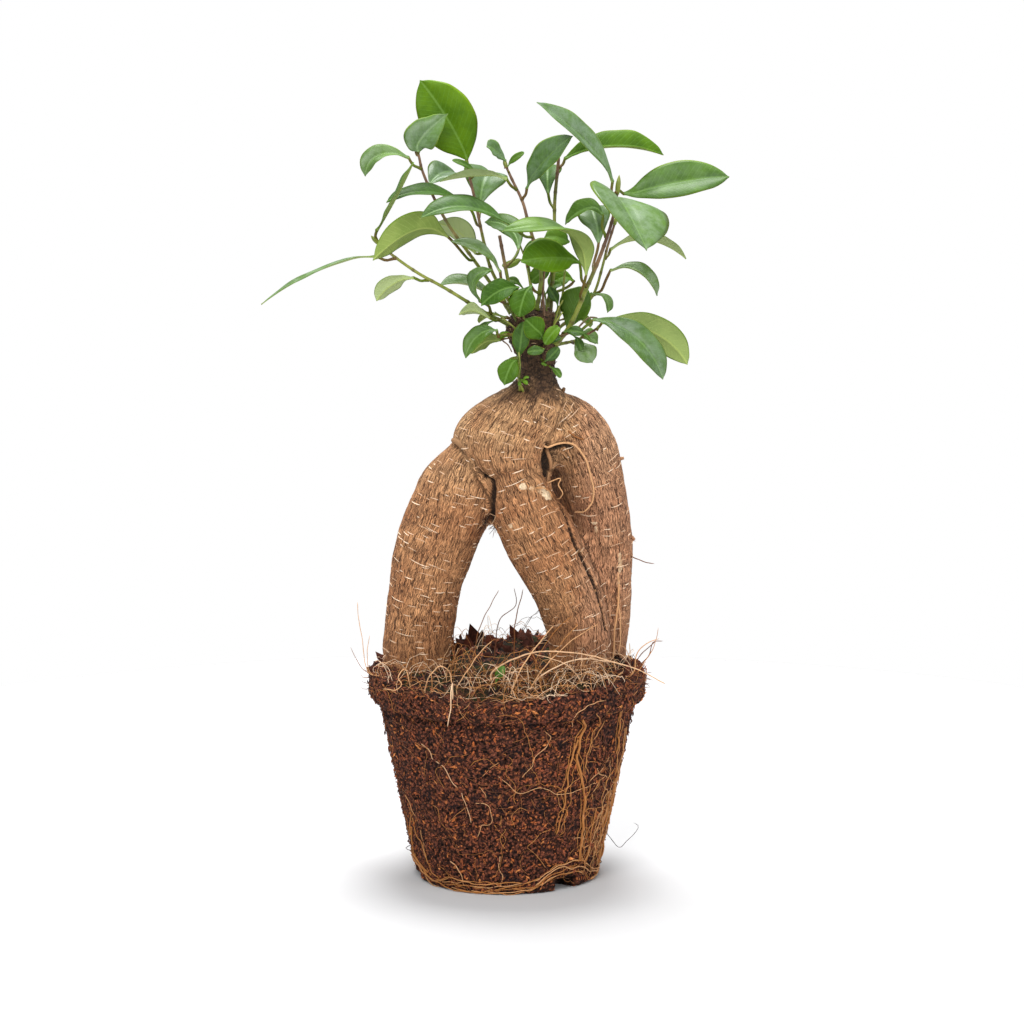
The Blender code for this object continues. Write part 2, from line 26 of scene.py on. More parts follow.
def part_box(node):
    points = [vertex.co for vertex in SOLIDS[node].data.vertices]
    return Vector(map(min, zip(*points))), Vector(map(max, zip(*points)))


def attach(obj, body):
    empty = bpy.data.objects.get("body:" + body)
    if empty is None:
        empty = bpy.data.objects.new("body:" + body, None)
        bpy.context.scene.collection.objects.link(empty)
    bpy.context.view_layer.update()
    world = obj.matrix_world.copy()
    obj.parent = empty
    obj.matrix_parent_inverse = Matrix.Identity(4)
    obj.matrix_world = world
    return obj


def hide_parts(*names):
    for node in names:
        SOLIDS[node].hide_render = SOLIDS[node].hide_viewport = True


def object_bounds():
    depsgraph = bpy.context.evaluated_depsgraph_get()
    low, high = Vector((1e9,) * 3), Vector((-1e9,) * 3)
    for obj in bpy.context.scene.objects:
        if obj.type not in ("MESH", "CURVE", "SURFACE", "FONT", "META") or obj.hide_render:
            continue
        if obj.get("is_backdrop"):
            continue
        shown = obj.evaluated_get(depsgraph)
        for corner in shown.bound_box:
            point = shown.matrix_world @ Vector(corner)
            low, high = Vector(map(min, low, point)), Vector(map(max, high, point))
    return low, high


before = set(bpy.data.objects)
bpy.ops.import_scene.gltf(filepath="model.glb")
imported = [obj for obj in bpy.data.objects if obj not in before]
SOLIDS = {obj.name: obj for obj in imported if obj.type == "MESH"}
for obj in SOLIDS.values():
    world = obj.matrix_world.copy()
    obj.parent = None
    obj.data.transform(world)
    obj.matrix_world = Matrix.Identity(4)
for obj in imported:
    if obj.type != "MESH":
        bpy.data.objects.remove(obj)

noise.seed_set(7)                  # noise_vector would start from the clock otherwise
MM = 0.001
CAD_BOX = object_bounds()
BALL_HIGH, TRUNK_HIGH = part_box("root_ball")[1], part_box("trunk")[1]
print("solids:", len(SOLIDS), "up to", round(CAD_BOX[1].z / MM, 1), "mm, the trunk up to",
      round(TRUNK_HIGH.z / MM, 1), "mm")

# %% [markdown]
# ## Writing a finish as sums
#
# A finish is a network of shader nodes. Wiring it by hand hides the idea, so a
# small class wraps one output socket and overloads the arithmetic signs: then
# `0.3 * crack + rough` adds its own Math nodes, and `1 - crack` works too,
# because the reflected forms are there. Colours never pass through a Math node,
# which would turn them grey. They go through Mix nodes instead.

# %% Wire and Finish
class Wire:
    """One output socket. Arithmetic on it adds the Math nodes."""

    def __init__(self, finish, socket):
        self.finish, self.socket = finish, socket

    def math(self, operation, *values):
        return self.finish.node("ShaderNodeMath", {"operation": operation}, values)

    def __add__(self, other): return self.math("ADD", self, other)
    def __radd__(self, other): return self.math("ADD", other, self)
    def __sub__(self, other): return self.math("SUBTRACT", self, other)
    def __rsub__(self, other): return self.math("SUBTRACT", other, self)
    def __mul__(self, other): return self.math("MULTIPLY", self, other)
    def __rmul__(self, other): return self.math("MULTIPLY", other, self)
    def __truediv__(self, other): return self.math("DIVIDE", self, other)
    def __abs__(self): return self.math("ABSOLUTE", self)

    def fraction(self): return self.math("FRACT", self)
    def most(self, other): return self.math("MAXIMUM", self, other)

    def ease(self, start, end):
        """0 before start, 1 after end, smooth between them."""
        return self.finish.node("ShaderNodeMapRange", {"interpolation_type": "SMOOTHSTEP"},
                                {"Value": self, "From Min": start, "From Max": end})


class Finish:
    """A material and the nodes that colour it."""

    def __init__(self, name, **uniform):
        self.material = bpy.data.materials.new(name)
        self.material.use_nodes = True
        self.tree = self.material.node_tree
        self.shader = self.tree.nodes["Principled BSDF"]
        self.use(**uniform)

    def node(self, kind, settings=None, inputs=(), output=0):
        """Any node: its type, its settings first, then its sockets' values or links.

        Colours are given as screen values, 0 to 255."""
        made = self.tree.nodes.new(kind)
        for key, value in (settings or {}).items():
            if key == "stops":
                ramp = made.color_ramp
                while len(ramp.elements) < len(value):
                    ramp.elements.new(0.5)
                for element, (place, color) in zip(ramp.elements, value):
                    element.position, element.color = place, (*rgb(*color), 1)
            else:
                setattr(made, key, value)
        named = inputs.items() if isinstance(inputs, dict) else enumerate(inputs)
        for key, value in named:
            self.feed(made.inputs[key], value)
        return Wire(self, made.outputs[output])

    def feed(self, socket, value):
        if isinstance(value, Wire):
            self.tree.links.new(value.socket, socket)
        elif socket.type == "RGBA":
            socket.default_value = (*rgb(*value), 1)
        else:
            socket.default_value = value

    def use(self, **values):
        """Feed the shader's own sockets: base_color means Base Color."""
        for name, value in values.items():
            self.feed(self.shader.inputs[name.replace("_", " ").title()
                                         .replace("Ior", "IOR")], value)

    def mix(self, share, first, second):
        return self.node("ShaderNodeMix", {"data_type": "RGBA"},
                         {0: share, 6: first, 7: second}, output=2)

    def layers(self, color, *coats):
        """Coats over a colour, one after the other: how much of each, and its colour."""
        for share, coat in coats:
            color = self.mix(share, color, coat)
        return color

    def place(self):
        return self.node("ShaderNodeTexCoord", output="Object")

    def kept(self, name, output="Fac"):
        """A value that the mesh keeps at each of its points."""
        return self.node("ShaderNodeAttribute", {"attribute_name": name}, output=output)

    def part(self, vector, which):
        """One of a vector's three numbers: 0, 1 or 2."""
        return self.node("ShaderNodeSeparateXYZ", None, (vector,), which)

    def pushed(self, vector, by, reach):
        """A place pushed aside by a noise, so that straight patterns wave."""
        return self.node("ShaderNodeVectorMath", {"operation": "MULTIPLY_ADD"}, (by, reach, vector))

    def stretched(self, vector, scale):
        return self.node("ShaderNodeVectorMath", {"operation": "MULTIPLY"}, (vector, scale))

    def noise(self, vector, scale, detail=3.0, roughness=0.55, distortion=0.0, output="Fac"):
        return self.node("ShaderNodeTexNoise", None, {
            "Vector": vector, "Scale": scale, "Detail": detail, "Roughness": roughness,
            "Distortion": distortion}, output)

    def cells(self, vector, scale, output="Distance"):
        return self.node("ShaderNodeTexVoronoi", None, {"Vector": vector, "Scale": scale}, output)

    def ramp(self, value, *stops):
        return self.node("ShaderNodeValToRGB", {"stops": stops}, (value,))

    def bump(self, height, strength, distance):
        return self.node("ShaderNodeBump", None, {
            "Height": height, "Strength": strength, "Distance": distance})


def rgb(red, green, blue):
    """A colour from screen values, 0 to 255, as the linear one a shader wants."""
    return tuple((c / 255 / 12.92) if c < 10.3 else ((c / 255 + 0.055) / 1.055) ** 2.4
                 for c in (red, green, blue))


print("a screen grey of 128 is", round(rgb(128, 128, 128)[0], 3), "in light")

# %% [markdown]
# ## From lists of points to a piece
#
# Every piece here is plain mesh: lists of points and faces, made in Python and
# turned into an object at the end. Values such as a chip's tone are kept on the
# mesh at each point, so the finish can read them. A piece then needs three
# things from the frame: the body it rides on, the solid it stands for, and the
# material slot it belongs to.

# %% Points, faces and pieces
class Mesh:
    """Points, faces and the values kept at each point, before they become an object."""

    def __init__(self, *kept):
        self.points, self.faces = [], []
        self.values = {name: [] for name in kept}

    def add(self, points, faces, **values):
        first = len(self.points)
        self.points.extend(points)
        self.faces.extend([tuple(first + i for i in face) for face in faces])
        for name, given in values.items():
            given = list(given) if hasattr(given, "__len__") else [given] * len(points)
            self.values[name].extend(given)
        return first


def keep_values(mesh, name, values):
    """Write one number or one vector per point onto a mesh."""
    values = np.asarray(values, np.float32)
    kind, field = ("FLOAT", "value") if values.ndim == 1 else ("FLOAT_VECTOR", "vector")
    mesh.attributes.new(name, kind, "POINT").data.foreach_set(field, values.ravel())


def put(name, data):
    """A new object in the scene."""
    made = bpy.data.objects.new(name, data)
    bpy.context.scene.collection.objects.link(made)
    return made


def make_piece(name, mesh, finish, stands_for=(), smooth=True):
    data = bpy.data.meshes.new(name)
    data.from_pydata([(x, y, max(z, 0.05 * MM)) for x, y, z in mesh.points], [], mesh.faces)
    for key, values in mesh.values.items():
        keep_values(data, key, values)
    data.validate()
    return dress(put(name, data), finish, stands_for, smooth)


def dress(piece, finish, stands_for=(), smooth=True):
    piece.data.materials.clear()
    piece.data.materials.append(finish.material)
    if smooth:
        piece.data.shade_smooth()
    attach(piece, "root")
    if stands_for:
        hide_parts(*stands_for)
    triangles = sum(len(face.vertices) - 2 for face in piece.data.polygons)
    print(f"{piece.name}: {triangles} triangles")
    return piece


def places(text):
    """Rows of numbers from text, with commas between the rows."""
    return tuple(tuple(map(float, row.split())) for row in text.split(","))


def table(text):
    """Entries from text: numbers, a colon, then a route of places; semicolons between them."""
    halves = (entry.split(":") for entry in text.split(";"))
    return [(*map(float, first.split()), places(route)) for first, route in halves]


def mixed(low, high, share):
    return low + (high - low) * share


def rough(x, y, z):
    return noise.noise(Vector((x, y, z)))


def shaken(pick, *parts):
    """A random vector. Each part is a number, or a mean and a spread."""
    return Vector([pick.gauss(*part) if isinstance(part, tuple) else part for part in parts])


def unit(vectors):
    """One vector, or each row of an array, at length 1."""
    return vectors / (norm(vectors, axis=1)[:, None] if vectors.ndim > 1 else norm(vectors))


def steps_of(points):
    return norm(np.diff(points, axis=0), axis=1)


def gone_along(points):
    """The length of the way from the first point to each."""
    return np.concatenate([[0], np.cumsum(steps_of(points))])


def bands(rings, count):
    """Four-sided faces that join rings of `count` points, one ring after the other."""
    return [(a + k, a + (k + 1) % count, a + count + (k + 1) % count, a + count + k)
            for a in range(0, (rings - 1) * count, count) for k in range(count)]


def eased(value, start, end):
    """0 before start, 1 after end, smooth between. Works on numbers and arrays."""
    t = np.clip((np.asarray(value, float) - start) / (end - start), 0, 1)
    return t * t * (3 - 2 * t)


def curve_through(points, count):
    """`count` points at even steps of length on a smooth curve through the given ones."""
    points = np.asarray(points, float)
    ends = np.vstack([2 * points[0] - points[1], points, 2 * points[-1] - points[-2]])
    fine = []
    for p0, p1, p2, p3 in zip(ends, ends[1:], ends[2:], ends[3:]):
        for t in np.linspace(0, 1, 12, endpoint=False):
            fine.append(0.5 * (2 * p1 + (p2 - p0) * t + (2 * p0 - 5 * p1 + 4 * p2 - p3) * t * t
                               + (3 * p1 - p0 - 3 * p2 + p3) * t ** 3))
    fine.append(points[-1])
    fine = np.array(fine)
    gone = gone_along(fine)
    steps = np.linspace(0, gone[-1], count)
    return np.column_stack([np.interp(steps, gone, fine[:, k]) for k in range(fine.shape[1])])


def tube(mesh, path, radii, sides=6, **values):
    """Add a round closed tube along a path to a mesh."""
    path = [Vector(p) for p in path]
    side, points = Vector((0.3, 0.5, 0.81)), []
    for i, point in enumerate(path):
        tangent = (path[min(i + 1, len(path) - 1)] - path[max(i - 1, 0)]).normalized()
        side = side - tangent * side.dot(tangent)
        if side.length < 1e-6:
            side = tangent.orthogonal()
        side.normalize()
        other = tangent.cross(side)
        for k in range(sides):
            a = math.tau * k / sides
            points.append(point + float(radii[i]) * (math.cos(a) * side + math.sin(a) * other))
    last = (len(path) - 1) * sides
    ends = [tuple(reversed(range(sides))), tuple(range(last, last + sides))]
    mesh.add(points, bands(len(path), sides) + ends, **values)


print("helpers ready")

# %% [markdown]
# ## The trunk's bark
#
# The trunk is three storage roots that swelled, were lifted out of the soil and
# grew together at the top. Its bark is thin: fine furrows run along each limb,
# raised corky pores lie across it as pale dashes, and the limbs meet in creases
# that are carved and darkened with painted shade. A texture alone would look
# printed on, so the imported solid is remeshed finely and its points are really
# moved in along the furrows. Each limb gets its own furrows, in coordinates that
# run round and along its axis, and where two limbs meet their patterns blend.

# %% The trunk's limbs
# points on each axis: across, back, up and thickness in mm
LIMBS = {
    "middle leg": places("""
        11 0 237 9, 11 0 222 10, 12 0 207 9, 6 0 195 19, 0 -2 180 20, 5 -4 165 14, 12 -5 146 16,
        22 -3 124 15, 28 1 106 13.5, 30 4 80 13"""),
    "left leg": places("""
        -15 1 177 11, -19.5 1 168 15.5, -24 2 151 19, -29.6 3 135 17, -33.8 5 119 15, -36.6 7 100
        14.4, -37.2 8 80 14.3"""),
    "right leg": places("""
        16 3 200 9, 26.5 5 189 13, 33 8 173 14, 38 12 155 12.3, 40.6 16 135 12, 40.8 20 108 11.3,
        39.8 21 80 11"""),
    "sunk root": places("""
        20 11 184 8, 24 14 172 9, 27.5 17 158 9, 33 22 131 8.5, 38 22 104 5.5"""),
}


def limb_coordinates(points, limb):
    """Round and along a limb in mm, the share of its thickness, and its direction."""
    axis = curve_through(limb, 60)
    centers, thickness = axis[:, :3], axis[:, 3]
    gone, tangents = gone_along(centers), unit(np.gradient(centers, axis=0))
    best = np.full(len(points), np.inf)
    near = np.zeros(len(points), int)
    for i, center in enumerate(centers):
        apart = norm(points - center, axis=1) / thickness[i]
        closer = apart < best
        best[closer], near[closer] = apart[closer], i
    away = points - centers[near]
    along = gone[near] + np.einsum("ij,ij->i", away, tangents[near])
    front = unit(np.array([0.0, -1.0, 0.0]) - tangents * tangents[:, 1:2] * -1)
    side = np.cross(tangents, front)
    angle = np.arctan2(np.einsum("ij,ij->i", away, side[near]),
                       np.einsum("ij,ij->i", away, front[near]))
    return angle * thickness[near], along, best, tangents[near]


def fine_trunk(cell=0.69 * MM, rounds=14):
    """A fine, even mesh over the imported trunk, its facets smoothed away."""
    data = SOLIDS["trunk"].data.copy()
    bm = bmesh.new()
    bm.from_mesh(data)
    bmesh.ops.remove_doubles(bm, verts=bm.verts[:], dist=0.01 * MM)
    bm.to_mesh(data)
    bm.free()
    piece = put("bark", data)
    remesh = piece.modifiers.new("even cells", "REMESH")
    remesh.mode, remesh.voxel_size = "VOXEL", cell
    smooth = piece.modifiers.new("no facets", "SMOOTH")
    smooth.factor, smooth.iterations = 0.5, rounds
    graph = bpy.context.evaluated_depsgraph_get()
    done = bpy.data.meshes.new_from_object(piece.evaluated_get(graph))
    piece.modifiers.clear()
    piece.data = done
    return piece


trunk = fine_trunk()
print("trunk points:", len(trunk.data.vertices))

# %% [markdown]
# ### Furrows
#
# A furrow is where a stretched noise crosses zero: long along the limb, short
# across it. Bending the coordinates with a second noise makes the lines wave as
# real ones do. The same numbers that move the points are kept on the mesh, so
# that the finish can darken exactly the places that are deep.

# %% Carve the bark
# pale healed wounds seen from the front: across, up, half width and height in mm, slant
SCARS = places("""
    6.6 165.6 2 1.5 0, 10.2 164.6 1.8 0.9 0.3, 13.6 164 2.2 1.3 0.5, 16 161.2 1.9 2.5 0.7, 1.6
    149.1 0.9 0.9 0, 36.2 147 1.5 0.6 0, 36.6 144.2 0.6 2.4 0, 46.4 133 0.7 1.6 0, 46.6 128.5 0.9
    4.6 0.02, 46 121.4 0.6 3.6 0.02, 30.4 138 0.7 0.5 0""")
# clefts between limbs, carved and darkened with painted shade: across, back, up and reach in mm
GAPS = tuple(places(line) for line in """
    -9 -11.5 168.5 0.9, -6.7 -13.4 166 1.5, -5.7 -11.5 161 1.6, -5.7 -10.4 154.2 1.5, -7 -8 149.5
    1.6; 16.6 -13.8 181.5 1.2, 16 -12.4 178 2.8, 17.6 -10 174 4.4, 18.8 -7 168.5 3.6, 20.4 -5.8
    162 2.4, 22.8 -9 154 1.6, 27.9 -12.6 141.6 1.4, 33.9 -10.4 128.2 1.4, 38.1 -6.9 116.6 1.3, 41
    -4 104 1.2; 16.6 -12.4 180 1.5, 21 -8.2 180.6 1.7, 26.5 -6.6 179.4 0.8""".split(";"))
# where one limb bulges past the next, carved and lightly darkened with painted shade: the same
# numbers
FOLDS = tuple(places(line) for line in """
    -24.5 -3 183.1 1.2, -21.2 -7.7 180.2 1.6, -16.7 -12.3 176.4 1.8, -12.6 -12.7 172.3 1.8, -8.6
    -12 167.6 1.6; -5.6 -14.2 167.2 1.2, -0.8 -17.8 169.8 1.5, 3.2 -18.7 171.2 1.5, 8.1 -18 171.1
    1.5, 12.6 -15.8 170.2 1.5, 15.9 -12.1 168.4 1.5; 37 -1 200 1, 33.9 -2.5 197.6 1.6, 29.8 -4.8
    195 1.9, 25.7 -7.3 191.2 2, 21.6 -9.7 188.3 2, 18.3 -12.6 184.6 1.8, 16.7 -13.5 180.6 1.6; 28
    3 152 1, 30.5 0 141 1.2, 35 -2 129 1.2""".split(";"))


def furrows(around, along, seed):
    """How deep one point lies in coarse and in fine furrows, each 0 to 1."""
    bend = 1.5 * rough(around * 0.16, along * 0.14, seed)
    bend += 0.5 * rough(around * 0.5, along * 0.4, seed + 3)
    coarse = rough((around + bend) * 0.55, along * 0.10, seed + 9)
    fine = rough((around + bend) * 1.15, along * 0.20, seed + 17)
    return max(0.0, 1 - abs(coarse) / 0.10), max(0.0, 1 - abs(fine) / 0.16)


def near_lines(points, lines):
    """For each point, 1 in the middle of a line and 0 outside its reach, and how deep to go."""
    share, depth = np.zeros(len(points)), np.zeros(len(points))
    for line in lines:
        for x, y, z, reach in curve_through(line, 40):
            near = 1 - norm(points - (x, y, z), axis=1) / (reach * 1.6)
            share = np.maximum(share, near)
            depth = np.maximum(depth, eased(near, 0.0, 1.0) * reach)
    return share, depth


def carve_bark(piece):
    count = len(piece.data.vertices)
    points = np.empty(count * 3, np.float32)
    normals = np.empty(count * 3, np.float32)
    piece.data.vertices.foreach_get("co", points)
    piece.data.vertex_normals.foreach_get("vector", normals)
    points = points.reshape(-1, 3).astype(float) / MM
    normals = normals.reshape(-1, 3).astype(float)
    limbs = [limb_coordinates(points, limb) for limb in LIMBS.values()]
    apart = np.array([limb[2] for limb in limbs])
    weights = np.exp(-9 * (apart - apart.min(axis=0)))
    weights /= weights.sum(axis=0)
    ranked = np.sort(apart, axis=0)
    # where two limbs meet: carved in below, and given painted shade in the finish
    crease = 1 - eased(ranked[1] - ranked[0], 0.0, 0.16)
    crease *= 0.55 * (1 - eased(points[:, 2], 164, 182))
    gap, gap_depth = near_lines(points, GAPS)
    fold, fold_depth = near_lines(points, FOLDS)
    deep, shallow = np.zeros(count), np.zeros(count)
    lumps = np.zeros(count)
    for i in range(count):
        for k in range(len(limbs)):
            weight = weights[k, i]
            if weight > 0.03:
                coarse, fine = furrows(limbs[k][0][i], limbs[k][1][i], 20.0 * k)
                deep[i] += weight * coarse
                shallow[i] += weight * fine
        p = Vector(points[i])
        lumps[i] = 0.75 * noise.noise(p * 0.055) + 0.32 * noise.noise(p * 0.16)
    scar = np.zeros(count)
    for x, z, wide, high, slant in SCARS:
        across, up = points[:, 0] - x, points[:, 2] - z
        reach = np.hypot((across + slant * up) / wide, up / high) + 9 * (normals[:, 1] > 0.1)
        close = reach < 2
        wobble = np.array([0.45 * noise.noise(Vector(p) * 1.1) for p in points[close]])
        scar[close] = np.maximum(scar[close], 1 - eased(reach[close] + wobble, 0.7, 1.05))
    neck = eased(points[:, 2], 196, 212)
    depth = lumps * (1 - 0.3 * neck) - (0.12 * deep + 0.12 * shallow) * (1 - scar) + 0.25 * scar
    depth -= 1.0 * crease ** 2 + np.minimum(1.5 * gap_depth, 5.0) + 0.75 * fold_depth
    # the crease value also carries the painted shade of the clefts and folds to the finish
    crease = np.maximum(crease, np.maximum(eased(gap, 0.12, 0.62), 0.42 * eased(fold, 0.3, 1.0)))
    depth += neck * np.array([0.7 * rough(p[0] * 0.3, p[1] * 0.3, p[2] * 0.75)
                              if p[2] > 196 else 0.0 for p in points])
    points += normals * depth[:, None]
    piece.data.vertices.foreach_set("co", (points * MM).astype(np.float32).ravel())
    main = apart.argmin(axis=0)
    rows = np.arange(count)
    around = np.array([limb[0] for limb in limbs])[main, rows]
    along = np.array([limb[1] for limb in limbs])[main, rows]
    keep_values(piece.data, "furrow", np.clip(0.8 * deep + 0.7 * shallow, 0, 1))
    keep_values(piece.data, "crease", crease)
    keep_values(piece.data, "scar", scar)
    keep_values(piece.data, "grain", np.column_stack([around, along, main * 30.0]))
    piece.data.update()
    tangents = np.array([limb[3] for limb in limbs])[main, rows]
    return points, normals, tangents, crease, main


BARK = carve_bark(trunk)
print("deepest crease share:", round(float(BARK[3].max()), 2))

# %% [markdown]
# ### The bark's colour
#
# Young fig bark is a warm grey-brown, lighter and yellower where it has
# stretched and darker round the neck. Shade is painted into the creases, clefts
# and folds, almost black, and onto the sunk root that lies back in its hollow.
# The furrows that were carved drive the darkest lines. A finer noise, stretched
# along the same grain, adds the lines that are too fine for the mesh, and the
# same value feeds a bump, so colour and light agree.

# %% Bark finish
def bark_finish():
    f = Finish("fig bark", roughness=0.8)
    here = f.place()
    grain = f.kept("grain", "Vector")
    furrow, crease, scar = f.kept("furrow"), f.kept("crease"), f.kept("scar")
    height = f.part(here, 2) / MM
    sideways = f.part(here, 0) / MM
    sway = f.noise(f.stretched(grain, (0.50, 0.40, 1.0)), 1.0, 2.0, 0.5, output="Color")
    bent = f.pushed(grain, sway, (1.9, 0.0, 0.0))
    lines = f.noise(f.stretched(bent, (1.65, 0.115, 1.0)), 1.0, 1.0, 0.5, 0.3)
    threads = f.noise(f.stretched(bent, (3.1, 0.29, 1.0)), 1.0, 2.0, 0.5, 0.4)
    crack = 1 - abs(lines - 0.5).ease(0.010, 0.052)
    split = 1 - abs(threads - 0.5).ease(0.006, 0.050)
    limb = f.part(grain, 2)
    patches = f.noise(here, 48.0, 3.0, 0.55)
    warm = f.noise(here, 150.0, 3.0, 0.5)
    upper = height.ease(150.0, 190.0)
    ridge = f.mix(upper, f.mix(patches.ease(0.3, 0.7), (190, 130, 86), (215, 157, 108)),
                  f.mix(patches.ease(0.3, 0.7), (201, 149, 103), (226, 180, 131)))
    neck = (height + (warm - 0.5) * 16.0).ease(195.0, 207.0)
    foot = height.ease(112.0, 88.0)
    scales = f.cells(f.stretched(here, (1.0, 1.0, 1.6)), 560.0)
    base = f.layers(
        ridge,
        (sideways.ease(24.0, 34.0) * 0.45, (214, 160, 128)),
        (warm.ease(0.5, 0.78) * 0.45, (172, 100, 54)),
        (lines.ease(0.62, 0.38) * 0.14, (122, 78, 48)),
        (threads.ease(0.56, 0.72) * 0.22, (216, 172, 126)),
        (crack * 0.92, (58, 33, 21)),
        (split * 0.55, (80, 47, 30)),
        (furrow.ease(0.35, 1.0) * 0.18, (70, 42, 26)),
        # painted shade on the sunk root, which lies back in the hollow between the legs
        (limb.ease(75.0, 85.0) * 0.45, (84, 54, 38)),
        (neck * 0.86, f.mix(warm.ease(0.4, 0.6), (34, 25, 20), (78, 58, 44))),
        (foot * patches.ease(0.3, 0.6) * 0.4, (120, 72, 40)),
        # painted shade, almost black, in the creases, clefts and folds
        (crease.ease(0.15, 0.95) * 0.93, (22, 13, 9)),
        (scar.ease(0.2, 0.8), f.mix(warm.ease(0.35, 0.65), (208, 158, 112), (250, 222, 184))),
        (neck * scales.ease(0.45, 0.75) * 0.6, (22, 15, 12)))
    relief = lines * 0.5 - crack * 0.8 - split * 0.45 - furrow * 0.3 - neck * scales * 1.6
    f.use(base_color=base, roughness=0.88 - 0.2 * threads.ease(0.5, 0.8),
          normal=f.bump(relief, 1.0, 0.40 * MM), specular_ior_level=0.3)
    return f


BARK_FINISH = bark_finish()
dress(trunk, BARK_FINISH, ("trunk",))

# %% [markdown]
# ### Pores
#
# Fig bark breathes through lenticels: corky pores that tear open sideways as the
# limb swells, so each is a short pale dash across the grain. They stand proud of
# the bark and catch the light along their upper edge. Each one is a tiny lens
# of mesh laid on the carved surface, bent round it point by point.

# %% Pores
def surface_of(piece):
    graph = bpy.context.evaluated_depsgraph_get()
    return BVHTree.FromObject(piece, graph)


BARK_TREE = surface_of(trunk)


def on_bark(point, lift=0.0):
    """The nearest place on the bark, in metres, and its outward direction."""
    place, outward, _, _ = BARK_TREE.find_nearest(point)
    return place + outward * lift, outward


def add_pore(mesh, place, across, outward, length, height, rise, tone):
    """A raised dash, following the bark between its two ends."""
    up = outward.cross(across).normalized()
    stations, points, faces = 7, [], []
    for i in range(stations):
        t = 2 * i / (stations - 1) - 1
        swell = math.sqrt(max(0.02, 1 - t * t))
        middle, normal = on_bark(place + across * (t * length / 2))
        middle = middle + up * (0.035 * length * t * t * (1 if tone > 0.5 else -1))
        for u, lift in ((-1, -0.12), (-0.5, 0.75), (0.5, 0.75), (1, -0.12)):
            points.append(middle + up * (u * swell * height / 2) + normal * (lift * rise * swell))
    for i in range(stations - 1):
        for k in range(3):
            a = 4 * i + k
            faces.append((a, a + 4, a + 5, a + 1))
        faces.append((4 * i + 3, 4 * i + 7, 4 * i + 4, 4 * i))
    last = 4 * stations - 1
    faces += [(0, 1, 2, 3), (last, last - 1, last - 2, last - 3)]
    mesh.add(points, faces, tone=tone)


def make_pores(seed=5, count=640):
    pick = random.Random(seed)
    points, normals, tangents, crease, main = BARK
    mesh, placed = Mesh("tone"), []
    density = (0.6, 1.0, 0.6, 0.2)                        # on each limb in turn
    apart, longest = 2.4 * MM, 10                         # the longest is in mm
    while len(placed) < count:
        i = pick.randrange(len(points))
        chance = density[int(main[i])] * (1 if points[i][2] < 150 else 0.7)
        if crease[i] > 0.4 or points[i][2] < 88 or pick.random() > chance:
            continue
        neck = points[i][2] > 200
        place = Vector(points[i]) * MM
        if any((place - other).length < apart for other in placed):
            continue
        outward = Vector(normals[i])
        across = outward.cross(Vector(tangents[i])).normalized()
        across = (across + Vector(tangents[i]) * pick.uniform(-0.12, 0.12)).normalized()
        length = min(pick.lognormvariate(1.42, 0.5), longest) * (0.35 if neck else 1.0) * MM
        tone = pick.random() * (1 - 0.6 * float(eased(points[i][2], 190, 200)))
        add_pore(mesh, place, across, outward, length, pick.uniform(0.28, 0.52) * MM,
                 pick.uniform(0.16, 0.30) * MM, tone)
        placed.append(place)
    return mesh


def pore_finish():
    f = Finish("corky pores", roughness=0.85)
    tone = f.kept("tone")
    speck = f.noise(f.place(), 1400.0, 3.0, 0.6)
    base = f.mix(tone.ease(0.0, 1.0), (198, 156, 120), (246, 220, 190))
    base = f.mix(speck.ease(0.55, 0.7) * 0.5, base, (140, 100, 66))
    f.use(base_color=base, normal=f.bump(speck, 0.5, 0.2 * MM))
    return f


make_piece("bark_pores", make_pores(), pore_finish())

# %% [markdown]
# ## The root ball
#
# Lifted from its pot, the soil keeps the pot's shape, lip and drain slots
# included. It is coir and bark crumbs bound by roots, so its skin is neither
# smooth nor regular: crumbs stand out, pits go deep and get painted shade, and
# the edges have broken away. A grid is wrapped round the imported solid's
# outline, pushed in and out by noise of several sizes, and the slots are pressed in.

# %% Outline of the ball
BALL_TOP = BALL_HIGH.z
LIP_RADIUS = BALL_HIGH.x
LIP_LOW = BALL_TOP - 13 * MM       # underside of the lip
FOOT_RADIUS = 37.7 * MM
NECK_RADIUS = 53.3 * MM            # just under the lip
SLOTS = (-50, 70, 190)             # directions of the drain slots, in degrees from +X
SLOT_HALF, SLOT_TOP, SLOT_DEEP = 6.0 * MM, 5.5 * MM, 8.0 * MM


def off_slots(angle):
    """How far a direction from +X is off each slot's middle, in radians."""
    return [(angle - math.radians(slot) + math.pi) % math.tau - math.pi for slot in SLOTS]


def ball_radius(z):
    """The outline's radius at a height."""
    if z < LIP_LOW:
        return mixed(FOOT_RADIUS, NECK_RADIUS, max(z, 0) / LIP_LOW)
    return mixed(NECK_RADIUS, LIP_RADIUS, float(eased(z, LIP_LOW - 3.5 * MM, LIP_LOW + 2.5 * MM)))


def front_dip(x, y):
    """How far the edge has broken away in front, in metres, at a place given in mm."""
    angle = math.degrees(math.atan2(x, -y))
    return 3.0 * MM * math.exp(-((angle + 10) / 30) ** 2) * float(eased(math.hypot(x, y), 30, 55))


def crumb_height(p):
    """How far a crumb stands out at a point given in mm, in mm, and how deep a pit is."""
    clump = noise.noise(p * 0.13)
    lump = noise.noise(p * 0.48 + Vector((9, 2, 5)))
    grit = noise.noise(p * 1.25 + Vector((3, 8, 1)))
    pit = max(0.0, -0.14 - noise.noise(p * 0.95 + Vector((5, 5, 5))))
    return 0.45 * clump + 0.42 * lump + 0.42 * grit - 2.2 * pit, pit


